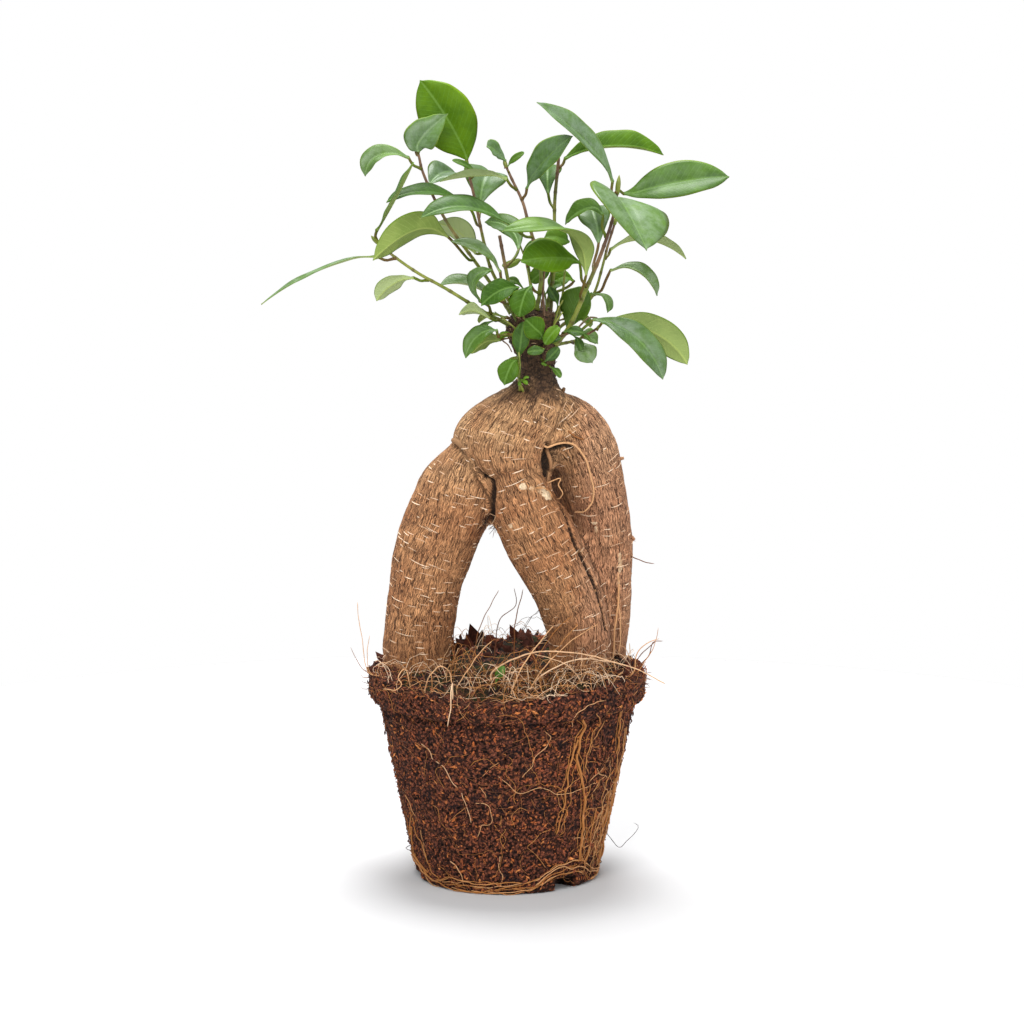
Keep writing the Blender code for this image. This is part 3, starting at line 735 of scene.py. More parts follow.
def ball_side(columns=500, step=0.64 * MM):
    outline = [(FOOT_RADIUS - 7 * MM, 0.0), (FOOT_RADIUS - 1.2 * MM, 0.0)]
    z = 0.9 * MM
    while z < BALL_TOP - 0.8 * MM:
        outline.append((ball_radius(z), z))
        z += step
    outline += [(LIP_RADIUS - 0.6 * MM - i * step, BALL_TOP) for i in range(12)]
    mesh, points, pits = Mesh("pit"), [], []
    last = len(outline) - 1
    for row, (radius, z) in enumerate(outline):
        rim = float(eased(z, BALL_TOP - 5 * MM, BALL_TOP))
        foot = 1 - float(eased(z, 0, 3 * MM))
        for column in range(columns):
            a = math.tau * column / columns
            out = Vector((math.cos(a), math.sin(a), 0))
            p = (out * radius + Vector((0, 0, z))) / MM
            height, pit = crumb_height(p)
            broken = 1.6 * rough(math.cos(a) * 6, math.sin(a) * 6, 2)
            deep = height - rim * (0.8 + broken) - 0.35
            if row < 2:
                deep = min(deep, 0.0)
            r = radius + deep * MM * (1 - 0.5 * foot)
            for off in off_slots(a):
                sideways = abs(off) * radius
                ragged = height * 0.4 * MM
                inside = 1 - float(eased(sideways + ragged, SLOT_HALF - 1.2 * MM, SLOT_HALF))
                inside *= 1 - float(eased(z + ragged, SLOT_TOP - 1.4 * MM, SLOT_TOP))
                r -= inside * SLOT_DEEP
                # the slot's inside is kept as a pit, so it gets painted shade too
                pit = max(pit, 0.5 * inside)
            up = z + (0.35 * MM * noise.noise(p * 0.9) if 1 < row else 0)
            if row > last - 12:
                up = BALL_TOP - (0.9 + 1.2 * rim * abs(broken)) * MM + height * 0.8 * MM
            up -= front_dip(p.x, p.y) * float(eased(z, LIP_LOW, BALL_TOP))
            points.append((out.x * r, out.y * r, max(up, 0.0)))
            pits.append(pit)
    mesh.add(points, bands(len(outline), columns), pit=pits)
    foot_loop = [(k, (k + 1) % columns) for k in range(columns)]
    close_off(mesh, [(last * columns + b, last * columns + a) for a, b in foot_loop],
              11 * MM, BALL_TOP - 14 * MM)
    close_off(mesh, foot_loop, 0.0, 0.0)
    return mesh


def close_off(mesh, loop, drop, middle):
    """Close a mesh below its open edge: a skirt that drops, then a fan to the middle."""
    low = {}
    for a, _ in loop:
        x, y, z = mesh.points[a]
        low[a] = mesh.add([(x, y, z - drop)], [], pit=0.0) if drop else a
    center = mesh.add([(0, 0, middle)], [], pit=0.0)
    for a, b in loop:
        if drop:
            mesh.faces.append((b, a, low[a], low[b]))
        mesh.faces.append((low[b], low[a], center))


def soil_height(x, y):
    """The top of the soil at a place, in metres: hummocks, higher towards the back."""
    p = Vector((x / MM, y / MM, 40))
    height, pit = crumb_height(p)
    hummock = 1.6 * noise.noise(p * 0.045 + Vector((4, 0, 0))) + 1.0 * noise.noise(p * 0.11)
    back = 0.6 + noise.noise(p * 0.09 + Vector((0, 7, 0)))
    back *= 3.8 * float(eased(y, 5 * MM, 42 * MM))
    return BALL_TOP - front_dip(p.x, p.y) + (hummock + back + 1.1 * height - 0.6) * MM, pit


def ball_top(step=0.72 * MM):
    reach = LIP_RADIUS - 4.5 * MM
    count = int(reach / step)
    mesh = Mesh("pit")
    index, points, pits, faces = {}, [], [], []
    for i in range(-count, count + 1):
        for k in range(-count, count + 1):
            x, y = i * step, k * step
            r = math.hypot(x, y)
            if r <= reach:
                z, pit = soil_height(x, y)
                drop = float(eased(r, reach - 5 * MM, reach))
                index[i, k] = len(points)
                sunk = BALL_TOP - 3.2 * MM - front_dip(x / MM, y / MM)
                points.append((x, y, mixed(z, sunk, drop)))
                pits.append(pit)
    for (i, k), first in index.items():
        if (i + 1, k) in index and (i, k + 1) in index and (i + 1, k + 1) in index:
            faces.append((first, index[i + 1, k], index[i + 1, k + 1], index[i, k + 1]))
    mesh.add(points, faces, pit=pits)
    sides = {(face[n], face[(n + 1) % 4]) for face in faces for n in range(4)}
    rim = sorted(side for side in sides if side[::-1] not in sides)
    close_off(mesh, rim, 2.5 * MM, BALL_TOP - 20 * MM)
    return mesh


print("the lip's radius in mm:", round(LIP_RADIUS / MM, 1))

# %% [markdown]
# ### Soil colour
#
# Coir is reddish brown, with a scatter of orange chips. Two sizes of Voronoi
# cells give each crumb its own colour, and painted shade, near black, fills the
# gaps between the crumbs and the pits and slots kept from the mesh. The cells'
# distances feed the bump. The top is blacker, because it is humus, and it has a
# green tint of moss.

# %% Soil finish
def soil_finish(name, top):
    f = Finish(name, roughness=0.95, specular_ior_level=0.2)
    here = f.place()
    pit = f.kept("pit")
    warp = f.noise(here, 260.0, 3.0, 0.6, output="Color")
    bent = f.pushed(here, warp, (0.0025, 0.0025, 0.0025))
    crumb = f.cells(bent, 760.0)
    crumb_tone = f.part(f.cells(bent, 760.0, "Color"), 0)
    grit = f.cells(bent, 1700.0)
    grit_tone = f.part(f.cells(bent, 1700.0, "Color"), 1)
    fiber = f.noise(f.stretched(bent, (1.0, 1.0, 0.35)), 900.0, 3.0, 0.65, 1.5)
    dark, mid, red, orange = ((14, 10, 8), (38, 26, 18), (62, 40, 26), (120, 74, 40)) if top else \
        ((42, 25, 24), (117, 67, 52), (160, 91, 63), (216, 126, 70))
    color = f.ramp(crumb_tone, (0.0, dark), (0.34, mid), (0.66, red),
                   (0.88, mid), (0.94, orange))
    color = f.mix(0.45, color, f.ramp(grit_tone, (0.0, dark), (0.5, mid),
                                      (0.85, red), (0.98, orange)))
    # painted shade: near black in the gaps between the crumbs, and in the pits and slots
    gap = (1 - crumb.ease(0.62, 0.35)).most(grit.ease(0.45, 0.75) * 0.8)
    clots = f.noise(here, 85.0, 3.0, 0.6).ease(0.56, 0.66)
    color = f.layers(
        color, (fiber.ease(0.58, 0.72) * 0.45, (136, 84, 52)), (gap * 0.90, (14, 9, 8)),
        (pit.ease(0.02, 0.22) * 0.85, (14, 8, 7)), (clots * 0.56, (24, 20, 24)))
    if top:
        moss = f.noise(here, 70.0, 4.0, 0.6).ease(0.44, 0.58)
        color = f.mix(moss * 0.45, color, (56, 64, 30))
    relief = fiber * 0.5 - crumb * 0.9 - grit * 0.5
    f.use(base_color=color, normal=f.bump(relief, 1.0, 0.6 * MM))
    return f


SOIL_SIDE, SOIL_TOP = soil_finish("coir", False), soil_finish("humus", True)
ball = (make_piece("root_ball_side", ball_side(), SOIL_SIDE, ("root_ball",)),
        make_piece("root_ball_top", ball_top(), SOIL_TOP, ("root_ball",)))

# %% [markdown]
# ### Crumbs and chips
#
# What makes coir look like coir is its chips: split slivers and flat crumbs,
# each at its own angle, lighter or darker than its neighbour. They are far too
# many to place, so a seeded random picks each one's place, size, turn and tone.
# Each is a stretched lump with eight faces, half sunk into the skin.

# %% Chips
LUMP = ((0, 3, 4), (3, 1, 4), (1, 2, 4), (2, 0, 4), (3, 0, 5), (1, 3, 5), (2, 1, 5), (0, 2, 5))
# length, width and thickness in mm, each from the smallest to the largest
SIDE_CHIP = ((0.8, 3.4), (0.4, 1.2), (0.3, 0.8))
TOP_CHIP = ((1.0, 5.5), (0.6, 2.0), (0.35, 1.0))
FLAKE = ((0.8, 2.6), (0.4, 1.2), (0.4, 0.4))


def sized(kind, big):
    """The three sizes in metres of a lump that is 0 smallest to 1 largest of its kind."""
    return [mixed(low, high, big) * MM for low, high in kind]


def add_chip(mesh, place, long_way, outward, length, width, thick, tone, pick):
    across = long_way.cross(outward).normalized()

    def half(size):
        return size / 2 * pick.uniform(0.7, 1.3)

    def aside():
        return long_way * (length * pick.uniform(-0.2, 0.2))

    points = [place - long_way * half(length), place + long_way * half(length),
              place + across * half(width) + aside(), place - across * half(width) + aside(),
              place + outward * half(thick), place - outward * (thick / 2)]
    mesh.add(points, LUMP, tone=tone)


def scattered_direction(outward, pick, lean=0.25):
    """A random direction along a surface, leaning out of it a little."""
    way = shaken(pick, (0, 1), (0, 1), (0, 1))
    way -= outward * way.dot(outward)
    return (way.normalized() + outward * pick.gauss(0, lean)).normalized()


def side_point(angle, z, lift=0.0):
    """A place on the ball's side: angle in radians from the viewer's side, to the right."""
    out = Vector((math.sin(angle), -math.cos(angle), 0))
    place = out * (ball_radius(z) + lift)
    dip = front_dip(place.x / MM, place.y / MM) * float(eased(z, LIP_LOW, BALL_TOP))
    return place + Vector((0, 0, z - dip)), out


def in_slot(angle, z):
    return z < SLOT_TOP + 1 * MM and any(abs(off) * FOOT_RADIUS < SLOT_HALF + 1 * MM
                                         for off in off_slots(angle - math.pi / 2))


BALL_TREES = [surface_of(piece) for piece in ball]


def crumbs(x, y):
    """Height in mm of the crumbs themselves below a place given in mm."""
    hits = [tree.ray_cast(Vector((x, y, 130)) * MM, Vector((0, 0, -1)))[0] for tree in BALL_TREES]
    return max([hit.z for hit in hits if hit], default=BALL_TOP) / MM


def make_chips(seed=11, on_the_side=7500, on_top=2600):
    pick = random.Random(seed)
    mesh = Mesh("tone")
    for _ in range(on_the_side):
        angle, z = pick.uniform(0, math.tau), pick.uniform(1.5 * MM, BALL_TOP - 1 * MM)
        if in_slot(angle, z):
            continue
        big = pick.random() ** 3
        place, out = side_point(angle, z, pick.uniform(-0.7, 0.35) * MM)
        add_chip(mesh, place, scattered_direction(out, pick), out, *sized(SIDE_CHIP, big),
                 pick.random(), pick)
    for _ in range(on_top):
        r, angle = LIP_RADIUS * math.sqrt(pick.random()) * 0.985, pick.uniform(0, math.tau)
        x, y = r * math.cos(angle), r * math.sin(angle)
        big = pick.random() ** 3
        out = shaken(pick, (0, 0.3), (0, 0.3), 1).normalized()
        place = Vector((x, y, (crumbs(x / MM, y / MM) + pick.uniform(-0.4, 0.5)) * MM))
        add_chip(mesh, place, scattered_direction(out, pick, 0.4), out, *sized(TOP_CHIP, big),
                 pick.random() ** 2 * 0.7, pick)
    return mesh


def chip_finish():
    f = Finish("coir chips", roughness=0.9, specular_ior_level=0.25)
    here = f.place()
    tone = f.kept("tone")
    streak = f.noise(here, 900.0, 4.0, 0.65, 1.0)
    color = f.ramp(tone, (0.0, (38, 21, 18)), (0.35, (112, 61, 45)), (0.65, (158, 86, 56)),
                   (0.85, (190, 102, 50)), (1.0, (232, 150, 86)))
    clots = f.noise(here, 85.0, 3.0, 0.6).ease(0.56, 0.66)
    color = f.layers(
        color, (streak.ease(0.62, 0.4) * 0.5, (36, 18, 12)), (clots * 0.6, (28, 22, 26)))
    f.use(base_color=color, normal=f.bump(streak, 0.7, 0.3 * MM))
    return f


make_piece("coir_chips", make_chips(), chip_finish(), smooth=False)

# %% [markdown]
# ## Fine roots
#
# The feeding roots are what held the soil in the pot's shape. Where they met
# the pot's wall they turned and ran along it, so they lie flat on the ball,
# split and join again, and gather into golden strands at the foot, where the
# water stood. Each is a tube on a smooth path, sunk half into the soil. The
# strands that show most are routed one by one. The rest grow at random, by
# small turns, from a fixed seed.

# %% Tools for roots
def root_finish():
    f = Finish("fine roots", roughness=0.7, specular_ior_level=0.35)
    here = f.place()
    streak = f.noise(here, 700.0, 4.0, 0.65, 0.8)
    color = f.ramp(f.kept("tone"), (0.0, (44, 30, 22)), (0.25, (112, 66, 36)),
                   (0.5, (180, 118, 58)), (0.75, (208, 160, 114)), (1.0, (240, 214, 184)))
    color = f.mix(streak.ease(0.56, 0.72) * 0.55, color, (92, 54, 30))
    f.use(base_color=color, normal=f.bump(streak, 0.5, 0.15 * MM))
    return f


ROOT_FINISH = root_finish()


def add_root(mesh, path, thick, thin, tone, wander, step, sides, seed):
    """A root along a path given in metres, its thickness in mm, with small wiggles."""
    path = np.asarray([tuple(p) for p in path], float)
    length = steps_of(path).sum() / MM
    count = max(4, int(length / step))
    fine = curve_through(path, count)
    radii = []
    for i in range(count):
        share = i / (count - 1)
        shift = noise.noise_vector(Vector((share * length * 0.22, seed * 7.7, 2.0)))
        fine[i] += np.array(shift) * wander * MM * min(1, 4 * share)
        lump = 1 + 0.22 * rough(share * length * 0.7, seed * 3.1, 8)
        ends = min(1.0, (1 - share) * length / 1.2 + 0.25)
        radii.append(mixed(thick, thin, share) / 2 * MM * lump * ends)
    tube(mesh, fine, radii, sides, tone=tone)


def on_side(route, lift):
    """Places on the ball's side from (degrees to the right of the viewer's side, mm up)."""
    return [side_point(math.radians(angle), z * MM, lift * MM)[0] for angle, z in route]


print("finishes so far:", len(bpy.data.materials))

# %% [markdown]
# ### Strands down the side
#
# Each routed strand is a row of numbers: its thickness and tone, then the places
# it passes. The sides that face away get the same strands again, turned round.
# Roots rise over the drain slots, where the pot's foot stood in their way.

# %% Routed strands on the side
# thickness at start and end in mm and tone, then degrees to the right and mm up
STRANDS = table("""
    0.5 0.4 0.8: 44 82, 39 82, 34 81, 31 79, 28 76, 30 72, 31 70; 1.5 1.35 0.5: 33 75, 37 71, 35
    67, 35 61, 35 57, 38 51, 42 44, 44 38, 45 31, 46 23, 47 17, 49 11; 1.2 0.6 0.5: 34 66, 33 63,
    32 58, 31 51, 31 44, 31 38, 30 33, 29 27, 28 25; 0.65 0.4 0.6: 39 77, 46 72, 43 69, 42 65, 41
    61, 41 54, 41 49; 0.55 0.4 0.75: 58 55, 56 52, 51 49, 44 46; 1 1.1 0.55: 54 78, 61 72, 63 67,
    66 58, 70 51, 73 43, 75 38, 77 30, 78 22, 79 15, 80 8; 0.8 1 0.6: 73 65, 77 56, 79 48, 79 40,
    80 33, 79 25, 77 18, 72 12, 72 6; 0.55 0.4 0.7: 58 47, 52 44, 50 41, 50 37; 1 1.1 0.5: 66 39,
    68 34, 69 29, 69 23, 70 17, 72 11, 75 6; 0.7 0.9 0.6: 61 33, 65 26, 68 20, 67 15, 66 10; 0.9
    1.1 0.5: 55 33, 55 27, 54 22, 55 17, 55 12, 53 10; 0.5 0.4 0.6: 60 33, 49 34, 45 33; 0.45 0.35
    0.8: -4 52, 0 49, 3 46, 7 45, 13 46, 20 46, 26 43, 33 43, 38 44, 52 45; 0.45 0.35 0.8: 17 71,
    20 68, 17 64, 14 61, 12 58, 12 56, 9 53, 7 51; 0.35 0.3 0.6: 6 77, 9 70, 11 64, 12 60; 0.4 0.3
    0.6: 24 28, 19 27, 15 24, 12 21, 16 18, 21 13, 25 10; 0.4 0.3 0.8: 50 21, 45 22, 39 23; 0.55
    0.45 0.9: -43 63, -39 61, -36 57, -32 54, -29 51, -25 46; 0.45 0.3 0.9: -23 44, -22 40, -20
    35, -19 31; 0.45 0.3 0.75: -13 47, -11 44, -11 42; 0.45 0.35 0.8: -16 40, -11 40, -8 38, -8
    34, -10 31, -14 30, -16 25; 0.35 0.25 0.7: -4 58, -8 55, -12 52; 0.35 0.25 0.6: -21 38, -28
    34, -32 31; 0.6 0.5 0.85: -35 13, -31 11, -28 8, -28 4, -25 1; 0.55 0.45 0.8: -4 17, -4 12, -3
    8, -4 4; 0.8 1 0.5: -64 29, -70 23, -72 18, -75 12, -70 9, -62 7, -55 4; 0.6 0.8 0.55: -63 28,
    -62 21, -58 17, -55 11, -52 6, -46 4; 0.5 0.5 0.7: -67 37, -63 34, -60 30, -58 26, -56 22, -56
    15, -55 10; 0.35 0.25 0.35: -34 86, -29 84, -24 81, -20 79; 0.35 0.25 0.6: 4 30, 3 35, 7 38,
    11 37; 0.35 0.25 0.6: -3 35, -3 30, -1 29, -3 26, -3 23, -1 20""")


def slot_clearance(angle):
    """How much higher a root passes over a drain slot, in mm, at degrees from the front."""
    over = 0.0
    for slot in SLOTS:
        off = (angle - 90 - slot + 180) % 360 - 180
        over = max(over, (SLOT_TOP / MM + 1.2) * (1 - float(eased(abs(off), 7.0, 27))))
    return over


def crept(pick, angle, z, way, steps, turn, low, high):
    """A route over the side from degrees and mm up, with a small turn at every step."""
    route = []
    for _ in range(steps):
        route.append((angle, min(high, max(low(angle), z))))
        way = turn(way)
        angle += 3.4 * math.cos(way)
        z += 2.6 * math.sin(way)
    return route


def make_side_roots(seed=21, round_the_foot=24, in_the_net=38, thin_ones=260):
    pick = random.Random(seed)
    mesh = Mesh("tone")

    def lay(route, lift, *root):
        add_root(mesh, on_side(route, lift), *root)

    for number, (thick, thin, tone, route) in enumerate(STRANDS):
        slim = thick * (0.76 if thick > 0.7 else 0.6)
        lay(route, 0.0, slim, min(thin, slim), tone * 0.88, 0.9, 0.9, 6, number)
        for aside in (-1.9, 2.3) if thick > 0.6 else ():    # thin ones run beside the thick
            beside = [(angle + aside * pick.uniform(0.3, 1.5), z + pick.uniform(-0.8, 0.8))
                      for angle, z in route[pick.randint(0, 2):]]
            lay([(angle, max(z, slot_clearance(angle) + 0.8)) for angle, z in beside], -0.05,
                pick.uniform(0.26, 0.44), 0.24, tone * pick.uniform(0.8, 1.15), 1.1, 0.9, 5,
                number + aside)
    turned = [s for s in STRANDS if s[0] >= 0.6]          # the sides that face away
    for turn in (150, 205):
        for number, (thick, thin, tone, route) in enumerate(turned):
            moved = [(angle * pick.uniform(0.92, 1.08) + turn, z) for angle, z in route]
            if all(95 < angle < 265 for angle, _ in moved):
                lay(moved, 0.1, thick * 0.85, thin * 0.9, tone, 0.9, 1.2, 5, number + turn)
    for number in range(round_the_foot):                  # a golden ring
        angle, z, route = pick.uniform(0, 360), pick.uniform(0.4, 4.4), []
        heading = pick.gauss(0, 0.2)
        for _ in range(pick.randint(9, 26)):
            route.append((angle, max(0.5, z + slot_clearance(angle))))
            angle += 5.5
            heading = heading * 0.6 + pick.gauss(0, 0.45)
            z = min(5.4, max(0.4, z + heading))
        lay(route, pick.uniform(-0.3, 0.3), pick.uniform(0.28, 0.6), pick.uniform(0.26, 0.46),
            pick.uniform(0.42, 0.7), 0.9, 1.2, 5, number + 0.3)
    for number in range(in_the_net):                      # golden, on the right, heading down
        route = crept(pick, pick.gauss(63, 12), pick.uniform(8, 56),
                      -math.pi / 2 + pick.gauss(0, 0.35), pick.randint(5, 15),
                      lambda way: way * 0.8 - 0.2 * math.pi / 2 + pick.gauss(0, 0.5),
                      lambda angle: slot_clearance(angle) + 1.0, 70)
        lay(route, 0.0, pick.uniform(0.24, 0.46), 0.24, pick.uniform(0.42, 0.68), 0.7, 1.1, 5,
            number + 0.5)
    for number in range(thin_ones):                       # these wander all over
        route = crept(pick, pick.uniform(0, 360), pick.uniform(4, 84), pick.uniform(0, math.tau),
                      pick.randint(4, 11), lambda way: way + pick.gauss(0, 0.55),
                      lambda angle: 2, 86)
        lay(route, -0.05, pick.uniform(0.16, 0.32), 0.15, pick.choice((0.12, 0.2, 0.28, 0.35, 0.5)),
            0.6, 1.2, 4, number + 0.7)
    return mesh


make_piece("side_roots", make_side_roots(), ROOT_FINISH)

# %% [markdown]
# ### The mat on top
#
# At the surface the roots dried out where they lay: a pale tangle, thickest in
# front between the legs, that hangs over the lip. A few longer ones stick out.
# Each starts at a random place, turns a little at every step, keeps to the
# ground with a small spring, and at the lip a few fall over the edge while the
# rest turn and follow the rim.

# %% Mat
LEG_FEET = ((-37, 8, 15.5), (30, 4, 14.5), (40, 21, 12.5))      # across, back, radius in mm
ROOTED_WITHIN = 53.0               # roots that stand on the lip start within this radius, in mm


def ground(x, y):
    """Height of the soil, or of the lip's outside, below a place given in mm."""
    r = math.hypot(x, y)
    if r < LIP_RADIUS / MM - 5:
        return soil_height(x * MM, y * MM)[0] / MM
    return (BALL_TOP - front_dip(x, y)) / MM - 0.8 - 0.9 * max(0.0, r - LIP_RADIUS / MM + 1.5) ** 2


def bedded(path):
    """The same path with both ends brought down into the crumbs."""
    for ends in (path[:3], path[:-4:-1]):
        drop = ends[0].z - (crumbs(ends[0].x / MM, ends[0].y / MM) - 0.4) * MM
        for place, share in zip(ends, (1.0, 0.55, 0.2)):
            place.z -= max(0.0, drop) * share
    return path


def top_spot(pick, angle, margin, least):
    """A random place on top in mm, at an angle to the right of the viewer's side."""
    r = (LIP_RADIUS / MM - margin) * math.sqrt(pick.uniform(least, 1))
    return r * math.sin(angle), -r * math.cos(angle)


def grow_on_top(pick, x, y, steps, step, lively, lift):
    way, turn, path = pick.uniform(0, math.tau), pick.gauss(0, 0.15), []
    high, edge = lift, LIP_RADIUS / MM - 0.6
    hangs = pick.random() < 0.10
    for _ in range(steps):
        path.append(Vector((x, y, ground(x, y) + high)) * MM)
        turn = turn * 0.85 + pick.gauss(0, lively)
        way += turn
        ahead_x, ahead_y = x + step * math.cos(way), y + step * math.sin(way)
        if math.hypot(ahead_x, ahead_y) > edge:
            if hangs:                                     # over the edge: hang down the side
                angle = math.atan2(ahead_x, -ahead_y)
                for fall in range(pick.randint(2, 6)):
                    path.append(side_point(angle + 0.02 * fall, path[-1].z - 1.3 * MM, 0.4 * MM)[0])
                break
            way += 0.9 if turn > 0 else -0.9              # or turn and follow the rim
            ahead_x, ahead_y = x + step * math.cos(way), y + step * math.sin(way)
            away = math.hypot(ahead_x, ahead_y)
            if away > edge:
                ahead_x, ahead_y = ahead_x * edge / away, ahead_y * edge / away
        x, y = ahead_x, ahead_y
        high = max(0.15, high + pick.gauss(0, 0.45))
        high += (lift - high) * 0.15
        for leg_x, leg_y, radius in LEG_FEET:
            gap = math.hypot(x - leg_x, y - leg_y)
            if gap < radius:
                x, y = leg_x + (x - leg_x) * radius / gap, leg_y + (y - leg_y) * radius / gap
    return path


def make_mat(seed=31, tangled=360, in_front=240, rim_ends=190, heaped=64):
    pick = random.Random(seed)
    mesh = Mesh("tone")
    for number in range(tangled):
        while True:
            angle = pick.gauss(0.1, 0.95) if number < in_front else pick.uniform(0, math.tau)
            x, y = top_spot(pick, angle, 1.0, 0.10)
            if all(math.hypot(x - fx, y - fy) > fr for fx, fy, fr in LEG_FEET):
                break
        lift = pick.uniform(0.1, 1.2) if pick.random() < 0.55 else pick.uniform(1.2, 6.5)
        path = grow_on_top(pick, x, y, pick.randint(5, 15), 1.7, 0.10, lift)
        arch = pick.uniform(2.0, 9.0) if pick.random() < 0.5 else 0.0
        skew = pick.uniform(0.6, 1.6)
        if len(path) > 3:
            for i, place in enumerate(path):
                share = (i / (len(path) - 1)) ** skew
                inside = 1 - float(eased(math.hypot(place.x, place.y) / MM, 44, 56))
                place.z += arch * inside * math.sin(math.pi * share) * MM
            add_root(mesh, bedded(path), pick.uniform(0.16, 0.34), 0.13,
                     pick.choice((0.08, 0.2, 0.38, 0.52, 0.76, 0.92)), 0.3, 1.3, 4, number + 0.1)
    for number, (thick, tone, route) in enumerate(TOP_STRANDS):
        x, y, z = route[0]
        out = math.hypot(x, y) / ROOTED_WITHIN
        if out > 1.04 and z > 80:                         # rooted inside the lip, leaning out
            route = ((x / out, y / out, crumbs(x / out, y / out) - 0.5),) + route
        elif z > crumbs(x, y):
            route = ((x, y, crumbs(x, y) - 0.5),) + route
        add_root(mesh, [Vector(p) * MM for p in route], thick, thick * 0.6, tone, 0.3, 1.0, 6,
                 number)
    for number in range(rim_ends):                        # short and dry, round the rim
        angle = pick.uniform(0, math.tau)
        start, out = side_point(angle, BALL_TOP - pick.uniform(0, 9) * MM, -0.8 * MM)
        start.z = min(start.z, (crumbs(start.x / MM, start.y / MM) - 0.4) * MM)
        way = (out * 0.7 + shaken(pick, (0, 0.6), (0, 0.6), (0.3, 0.6))).normalized()
        far = start + way * pick.uniform(1.5, 5.5) * MM
        bend = (start + far) / 2 + shaken(pick, (0, 1), (0, 1), (0, 1)) * 0.7 * MM
        add_root(mesh, (start, bend, far), pick.uniform(0.22, 0.42), 0.16,
                 pick.choice((0.1, 0.25, 0.35, 0.6)), 0.2, 1.0, 4, number + 0.9)
    for number in range(heaped):                          # pale and dry, over the front
        x, y = top_spot(pick, pick.gauss(0.25, 0.6), 2.0, 0.35)
        path = grow_on_top(pick, x, y, pick.randint(9, 18), 1.8, 0.06, pick.uniform(1.5, 7.0))
        if len(path) > 3:
            add_root(mesh, bedded(path), pick.uniform(0.20, 0.34), 0.14,
                     pick.choice((0.55, 0.7, 0.85, 0.95)), 0.3, 1.3, 4, number + 0.4)
    return mesh


# thickness in mm and tone, then across, back and up in mm
TOP_STRANDS = table("""
    0.7 0.8: -6 -34 92, 2 -36 97.5, 13 -37 101, 26 -36 100.5, 36 -33 98, 46 -30 94.5, 55 -28 91,
    64.5 -26 85.5; 0.65 0.85: 12 -40 90, 20 -38 95, 30 -34 97.5, 42 -28 95, 53 -22 91; 0.6 0.85:
    -21.8 -50 90.5, -22.2 -55.5 89, -22.4 -58.2 85, -22.8 -58.8 80, -23.8 -58.5 75; 0.55 0.75: -33
    -42 87, -31 -45 93, -27 -46.5 97, -23.5 -46 95, -22 -47 90; 0.55 0.7: -41 -38 94, -44 -40 91,
    -42.5 -42 88.5, -45 -43 86.5, -50 -38 86; 0.6 0.75: 2 -46 87, 6 -44 96, 12 -40 104, 19 -33
    111; 0.5 0.7: 10 -42 88, 16 -38 96, 26 -30 104, 37 -24 110; 0.45 0.75: -20 -44 88, -15 -44 96,
    -10 -42 103, -6 -40 106; 0.45 0.8: 30 -38 88, 27 -42 94, 20 -44 99, 11 -42 101; 0.5 0.65: 52
    -20 90, 53 -20 97, 57 -20 101, 62 -20 103; 0.5 0.15: -21.6 3 92, -22.2 2 100, -21.4 1 109;
    0.45 0.3: -13 8 93, -11 9 103, -3.5 10 117.5; 0.45 0.2: -5 9 93, -3 10 105, 3.5 10 111, 3 10
    118.4; 0.55 0.3: 3 10 93, 3.5 10 104, 6.8 10 118; 0.45 0.45: 12 -12 92, 16 -15 100, 21 -17
    107, 27 -17 112; 0.4 0.7: -57 -14 88, -59 -14 100, -60.5 -14 110, -61 -14 117; 0.35 0.7: -56
    -16 88, -57 -17 96, -56 -18 104; 0.35 0.3: -58 -12 88, -62 -12 93, -64 -12 98; 0.5 0.25: 53 -8
    88, 58 -8 93, 60 -8 99, 64 -8 99.5; 0.5 0.2: 52 -4 88, 55 -4 93, 61 -4 98.5; 0.35 0.5: 54 -12
    88, 60 -12 98, 62 -12 106; 0.32 0: 40.5 -6 21, 42 -6 17, 46.5 -6 12.2, 50 -6 15, 54.5 -6 20.5,
    52.5 -6 22.5; 0.32 0: -39 -8 14, -42 -9 12.5, -39.5 -10 11.5, -36 -11 10.5""")
make_piece("root_mat", make_mat(), ROOT_FINISH)

# %% [markdown]
# ### Scraps of bark
#
# Slivers of bark lie and lean on top, thickest behind the legs. They are chips
# again, only larger, and each stands a little way in the crumbs.

# %% Chips and scraps on top
# across, back, length and width in mm, and the lean to the right
SCRAPS = places("""
    -14 36 11 5 -0.3, 11 6 7 2.2 -0.3, 9 9 5 2 0.1, -8 14 5 3 0.6, -20 16 6 3 0.9, 54 -10 9 2.5
    1.2, 52 4 8 3 1, -56 -6 6 2.5 -1.1, -52 12 7 3 -0.8, 0 22 8 3 -0.9, 20 30 7 3 0.8, -5 40 8 3
    1.2, -24 20 8 5 0.3, -16 27 9 4 -0.2, -7 30 7 5 0.5, 3 33 9 4 -0.4, 9 27 8 5 0.2, -20 36 8 4
    -0.6""")


